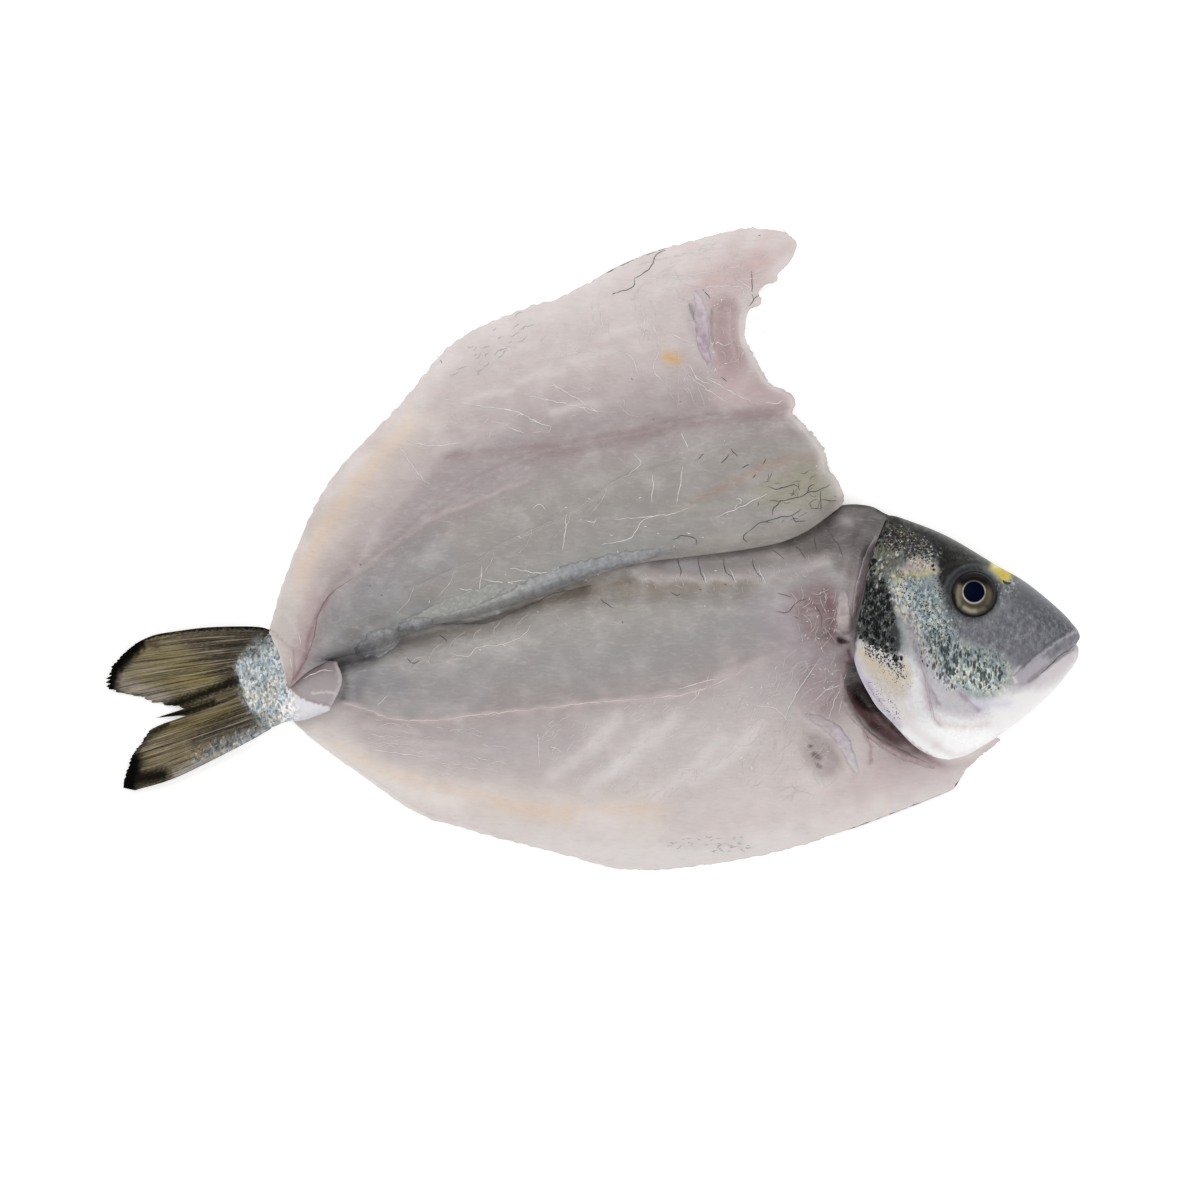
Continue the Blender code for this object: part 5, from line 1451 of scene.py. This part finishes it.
DARK_HAIRS = [
    [(2.6, -15.3), (4.8, -17), (7.1, -18.2)], [(24.2, -13.2), (26, -14.2), (27.6, -13.4)],
    [(33.2, -12.2), (34, -12.6)], [(9.4, -22), (9.9, -22.6)], [(41, -10.8), (41.7, -11)],
    [(54.6, 19.2), (57.8, 18.6), (61.7, 19.9), (63.9, 19.4)], [(63.7, 20.4), (64.2, 18.2)],
    [(54.8, 15), (58.7, 15), (63.2, 16), (66.7, 17.4), (70.9, 18.6), (73.4, 20.2)],
    [(58.7, 15), (56.3, 13), (55.8, 10.5)], [(70.9, 18.6), (70.5, 15.5), (70.9, 11.8)],
    [(66.7, 17.4), (67.2, 19.4), (68.7, 20.2)], [(70.9, 15.5), (74.6, 15), (76, 15)],
    [(48.3, 5.5), (51.8, 8), (54.8, 9), (58.7, 10), (61.7, 10.5), (64.7, 12.5)],
    [(48.3, 5.5), (46.8, 3.6), (48.3, 2.1)], [(61.7, 10.5), (63.2, 8.6), (65.7, 8.8)],
    [(46, 24.9), (48.8, 26.4)], [(52.6, 26.2), (53.8, 28.1)], [(49.6, 22.2), (50.4, 23.2)],
    [(39.9, 53.2), (41.9, 51.7)], [(48.8, 75), (49.8, 77), (51.8, 78.5)],
    [(22.7, 92.4), (20, 91), (18.1, 87), (13.3, 83.6)], [(13.3, 83.6), (12.7, 81), (7.3, 79.2)],
    [(7.3, 79.2), (6.4, 78.8)], [(12.4, 52.6), (12.9, 52.2)], [(27, 45.9), (27.6, 45.6)],
    [(18.7, 40.4), (19.2, 40.1)], [(51.6, 97), (52.1, 96.8)], [(34.2, 80.4), (34.7, 80)],
    [(34.9, 79.6), (36.6, 77.6)], [(-71.5, -4.4), (-71, -4.7)], [(-65.2, -14), (-64.7, -14.2)],
    [(-68.7, -11), (-68.2, -11.2)], [(49.4, 86), (49.6, 79.6), (49.9, 77)], [(-47.8, 60), (-46, 57.6)],
    [(-57, -33.6), (-55, -35.2), (-53, -34.2)], [(-47, -26.4), (-45, -27.8), (-44.4, -28.6)],
    [(25, 2.8), (28, 4.2), (32, 3.2), (32.2, 1.4)], [(-4, -3.6), (-2.6, -5)],
    [(-66.6, -30.2), (-65.4, -31.4), (-66.8, -32.6), (-65, -33.4)], [(-63.2, -29.2), (-62, -30.6)],
    [(33, 27.8), (34.6, 29.4)], [(40, 26.8), (42.4, 29.4)], [(43, 31), (45, 28.6)],
]
RIB_LINES = [
    [(33, -2.7), (33.5, -6.8), (35, -10.1)], [(40.6, -2.7), (41.5, -6.8), (44.1, -9.4)],
    [(49.7, -2.7), (50.3, -6.2), (53, -8.9)], [(55.9, -0.3), (58, -1.5), (59.4, -3.1)],
    [(61.5, 2), (63.9, 0.2), (65.9, -2.7)], [(68.6, 3.8), (69.2, -0.3)],
    [(73.3, 7.9), (73.5, 5), (76.2, 1.4), (77.5, -2.7)], [(26.4, -3), (27.6, -6.6), (27.2, -8.4)],
]
SEPTUM_HAIR = [
    (-73.4, -8.7), (-80.8, -14.1), (-84.5, -20.2), (-85.9, -27.6), (-88.5, -34.6), (-92.4, -40.4),
]
RED_THREADS = [
    [(56.9, -19), (59.4, -19.6), (61.4, -18.6), (63.1, -16.5), (66.2, -15)], [(57.4, -13.4), (61.6, -14.6)],
    [(62.4, -20.6), (64, -21.4)], [(68, -16), (70.6, -20), (71, -24)], [(83.2, -53.6), (85.6, -58.6)],
]
ARCS = [
    *cell_arcs(NEAR_CELLS[:-2:2], -5.5, -8.6, -1.2),
    [(-44, -32.4), (-43.2, -28.6), (-39, -25.4)],
    [(-34.4, -30.2), (-36.2, -26.8), (-33.8, -24)],
    [(-28.4, -29.4), (-30.2, -25.2), (-27.6, -21.8)],
    [(-21.6, -28.2), (-23.4, -24), (-19.4, -19.6)],
    [(-50.3, -34.9), (-49, -31.4), (-46, -28.8)],
    [(-57, -37.6), (-54.6, -34), (-51.6, -33)],
    [(-12.9, -17.4), (-9.4, -21.8), (-5.7, -24.4), (-2.7, -24.7)],
    [(-1.4, -18), (0.8, -21.1), (5.2, -22.9)],
    [(5.2, -22.9), (8.2, -23.3)],
]
NEAR_BELLY = [(-10, 44), (10, 78), (40, 90), (50, 84), (46, 56), (20, 46)]
FAR_BELLY = [(36, -44), (58, -36), (70, -44), (76, -66), (68, -80), (44, -70)]
COLLAR_PATCH = [(62, -14), (72, -10), (76, -24), (74, -44), (66, -36)]
POCKET_PATCH = [(34, 54), (46, 56), (48, 74), (36, 78)]
LOINS = [(-60, -20), (-40, 0), (20, 28), (66, 36), (70, 14), (30, -20), (-40, -36)]
LONG_THREADS = [
    [(-48.4, 47.2), (-36, 44.6), (-24.2, 42.8), (-16.1, 39.1)], [(-21.5, 47.8), (-10, 45.4), (2.7, 42.4)],
    [(-26.9, 38.4), (-20.8, 35.7)], [(-13.4, 58.6), (-1.3, 61.3), (4.1, 58.6)],
    [(0, 76.1), (0.6, 69), (-0.6, 62.6)], [(2, 76.1), (4.1, 66.7)],
    [(4.6, 61.2), (12.1, 59.7), (14.5, 53.3)], [(15, 76), (16.4, 70), (15.5, 63.2)],
    [(16.5, 72.1), (20, 67.1), (21, 61.2)], [(23, 67.1), (27.9, 65.1), (32.9, 62.2)],
    [(28.4, 55.2), (32.9, 51.3), (41.8, 45.3)], [(34.8, 53.3), (41.8, 49.3), (49.7, 45.3)],
    [(14, 87.9), (31.9, 91.9), (45.7, 93.9)], [(10.1, 83), (31.9, 85), (41.8, 86.9)],
    [(32.9, 81), (45.7, 81), (47.2, 77), (53.7, 81)], [(13.1, 29.5), (15, 26.5), (11.1, 22.6)],
    [(7.1, 9.2), (23, 10.7), (29.9, 12.7)], [(-70.1, -61.7), (-61.2, -62.7), (-50.3, -64.2)],
    [(-68.2, -59.7), (-55.3, -60.2)], [(-16.6, -56.7), (-16.1, -66.7)], [(-12.7, -60.7), (-8.7, -62.7)],
    [(26.2, -68), (31.5, -68), (32.1, -71.6)], [(17.3, -77.5), (25, -71.6), (30.3, -75.1)],
    [(26.2, -43.3), (34, -41), (39.1, -39.8)], [(49.7, -48), (56.8, -49.2), (61.5, -53.9)],
    [(-43.4, -32), (-38.5, -33), (-34.5, -30), (-28.5, -29.5), (-21.6, -27), (-18.6, -23.1)],
    [(-60, 33), (-54, 24), (-50, 20)], [(-58, 34), (-50, 32), (-40, 33)],
    [(-89, -39.8), (-84, -37.6), (-79.8, -37.2)],
]
COMB = [(14, -6), (40, -6), (72, -1), (73, -6), (44, -11), (14, -11)]
ROPE = [(-40, -20.2), (-30, -15.5), (-10, -7.4), (12, -1.8), (16, -3.4), (-6, -8.8), (-30, -18.6)]
make_threads("long_threads", LONG_THREADS, "#e4dedc", 0.15)
make_threads("comb_threads", scattered(COMB, 56, 2.2, -62, 50, 105), "#cdc6c5", 0.09)
# Painted shade and highlights on the rope: short dark lines across it for the shade in its wrinkles, and short
# pale ones for its glints.
make_threads("rope_crease_shade", scattered(ROPE, 46, 1.5, 100, 70, 106), "#5f6467", 0.09)
make_threads("rope_glints", scattered(ROPE, 46, 1.5, 60, 90, 107), "#d4d6d6", 0.09)
make_threads("wispy_threads", [
    *scattered([(-20, -54), (6, -50), (60, -42), (60, -70), (20, -80), (-10, -74)], 110, 4.5, 48, 22, 108),
    *scattered([(-70, -52), (-30, -56), (-30, -70), (-66, -66)], 40, 5, -8, 14, 109),
    *scattered([(-50, 30), (0, 40), (0, 70), (-30, 66)], 40, 4, 10, 60, 110),
    *scattered([(10, 76), (46, 80), (56, 96), (30, 94)], 50, 5, 14, 16, 111),
], "#e2dbd9", 0.1)
make_threads("olive_veins", scattered([(48, 8), (54, 22), (70, 25), (75, 14), (60, 8)], 26, 2.8, 20, 70,
    112), "#34332d", 0.08)
make_threads("white_threads", WHITE_THREADS, "#e2dcda", 0.18)
make_threads("belly_threads", [
    *scattered(NEAR_BELLY, 46, 7, -60, 50, 91), *scattered(FAR_BELLY, 70, 8, 55, 45, 92),
    *scattered(COLLAR_PATCH, 34, 5, 70, 60, 93), *scattered(POCKET_PATCH, 16, 5, 80, 50, 94),
], "#d6cdcb", 0.09)
make_threads("loin_threads", scattered(LOINS, 36, 3.6, 30, 60, 95), "#b0aaa7", 0.08)
# Painted highlights: short near-white threads for glints on the wet flesh.
make_threads("wet_glints", [
    *scattered(COLLAR_PATCH, 40, 0.9, 60, 80, 96), *scattered(FAR_BELLY, 30, 0.9, 60, 80, 97),
    *scattered(POCKET_PATCH, 22, 0.9, 80, 80, 98), *scattered(LOINS, 30, 0.8, 20, 80, 99),
    *scattered([(-30, -18), (-30, -13), (6, -1), (8, -6)], 26, 1.2, 20, 70, 100),
], "#f4f1f0", 0.12)
make_threads("muscle_cell_edges", ARCS, "#c4bdba", 0.14, sink=0.42)
make_threads("muscle_seams", [NEAR_CELLS, FAR_CELLS], "#c0b8b5", 0.12, sink=0.42)
# Painted shade: a dark thread along the groove under the edge of the near fillet.
make_threads("groove_line", [GROOVE_LINE], "#544f4d", 0.2, sink=0.5)
make_threads("pale_seam", [
    FAR_PALE_LINE[:9], FAR_PALE_LINE[8:], FAR_PALE_LINE_END,
], "#dccfcc", 0.2, sink=0.42)
make_threads("dark_hairs", DARK_HAIRS, "#2b2725", 0.13)
make_threads("rib_lines", RIB_LINES, "#54504e", 0.15, sink=0.4)
make_threads("septum_hair", [SEPTUM_HAIR], "#7a5d5f", 0.14, sink=0.45)
make_threads("grey_smudges", [
    *scattered([(-46, 52), (-38, 64), (-24, 72), (-20, 68), (-34, 54)], 26, 2.6, 35, 25, 101),
    *scattered([(20, -90.6), (30, -93.6), (48, -92.4), (46, -88.6), (30, -89)], 40, 1.4, 0, 30, 102),
    *scattered([(88, -55), (91, -58), (90, -66), (85, -66)], 16, 1, 70, 60, 103),
], "#938b8b", 0.07)
# Painted shade: a dark thread in the slit between the lips.
make_threads("mouth_line", [
    [(149.4, -29.6), (147.3, -30.6), (143.8, -33.2), (138, -38.6)],
], "#5b4c52", 0.16)
make_threads("gill_cover_seams", [
    [(99.4, -29), (101.1, -34.6), (103.4, -41.4), (104.6, -48.8), (105.7, -52.2), (107.4, -54.2)],
    [(104.8, -43.6), (107, -48)], [(102, -37), (103.6, -46), (104.6, -52)],
    [(114, -44.8), (116.6, -47), (119, -49.4)], [(84.4, -41), (88, -46), (92, -50)],
], "#aba0a6", 0.08)
make_threads("blood_threads", RED_THREADS, "#6b3b40", 0.13)

# ---------------------------------------------------------------- stage


def make_stage():
    """A pale table under soft light from above, seen from straight above by a far camera."""
    table_material, tree, shader = new_material("pale_table", Roughness=0.9)
    white = (1, 1, 1, 1)
    fill(tree, shader, {"Base Color": (0.9, 0.9, 0.9, 1), "Emission Color": white, "Emission Strength": 0.4})
    deselect()
    bpy.ops.mesh.primitive_plane_add(size=6, location=(0, 0, 0))
    table = bpy.context.object
    table.name = "table"
    table.data.materials.append(table_material)
    table.location.z = cad_box[0][2] - 0.2 * MM

    world = bpy.data.worlds.new("studio")
    bpy.context.scene.world = world
    world.use_nodes = True
    fill(world.node_tree, world.node_tree.nodes["Background"], {0: white, 1: 0.68})

    for name, place, size, power in (
        ("soft_key", (-0.4, 0.6, 1.1), 0.9, 4.2),
        ("soft_fill", (0.7, -0.4, 1.0), 0.9, 2.6),
    ):
        light = bpy.data.lights.new(name, "AREA")
        light.size = size
        light.energy = power
        lamp = bpy.data.objects.new(name, light)
        lamp.location = place
        lamp.rotation_euler = (-Vector(place)).to_track_quat("-Z", "Y").to_euler()
        bpy.context.scene.collection.objects.link(lamp)

    bpy.context.scene.view_settings.view_transform = "Standard"
    camera = bpy.data.cameras.new("camera")
    camera.type = "PERSP"
    distance, width = 9.0, 0.3703
    camera.sensor_width = 36
    camera.lens = camera.sensor_width * distance / width
    camera.clip_end = 20
    holder = bpy.data.objects.new("camera", camera)
    holder.location = (0.0026, -0.0156, distance + 0.01)
    bpy.context.scene.collection.objects.link(holder)
    bpy.context.scene.camera = holder


make_stage()
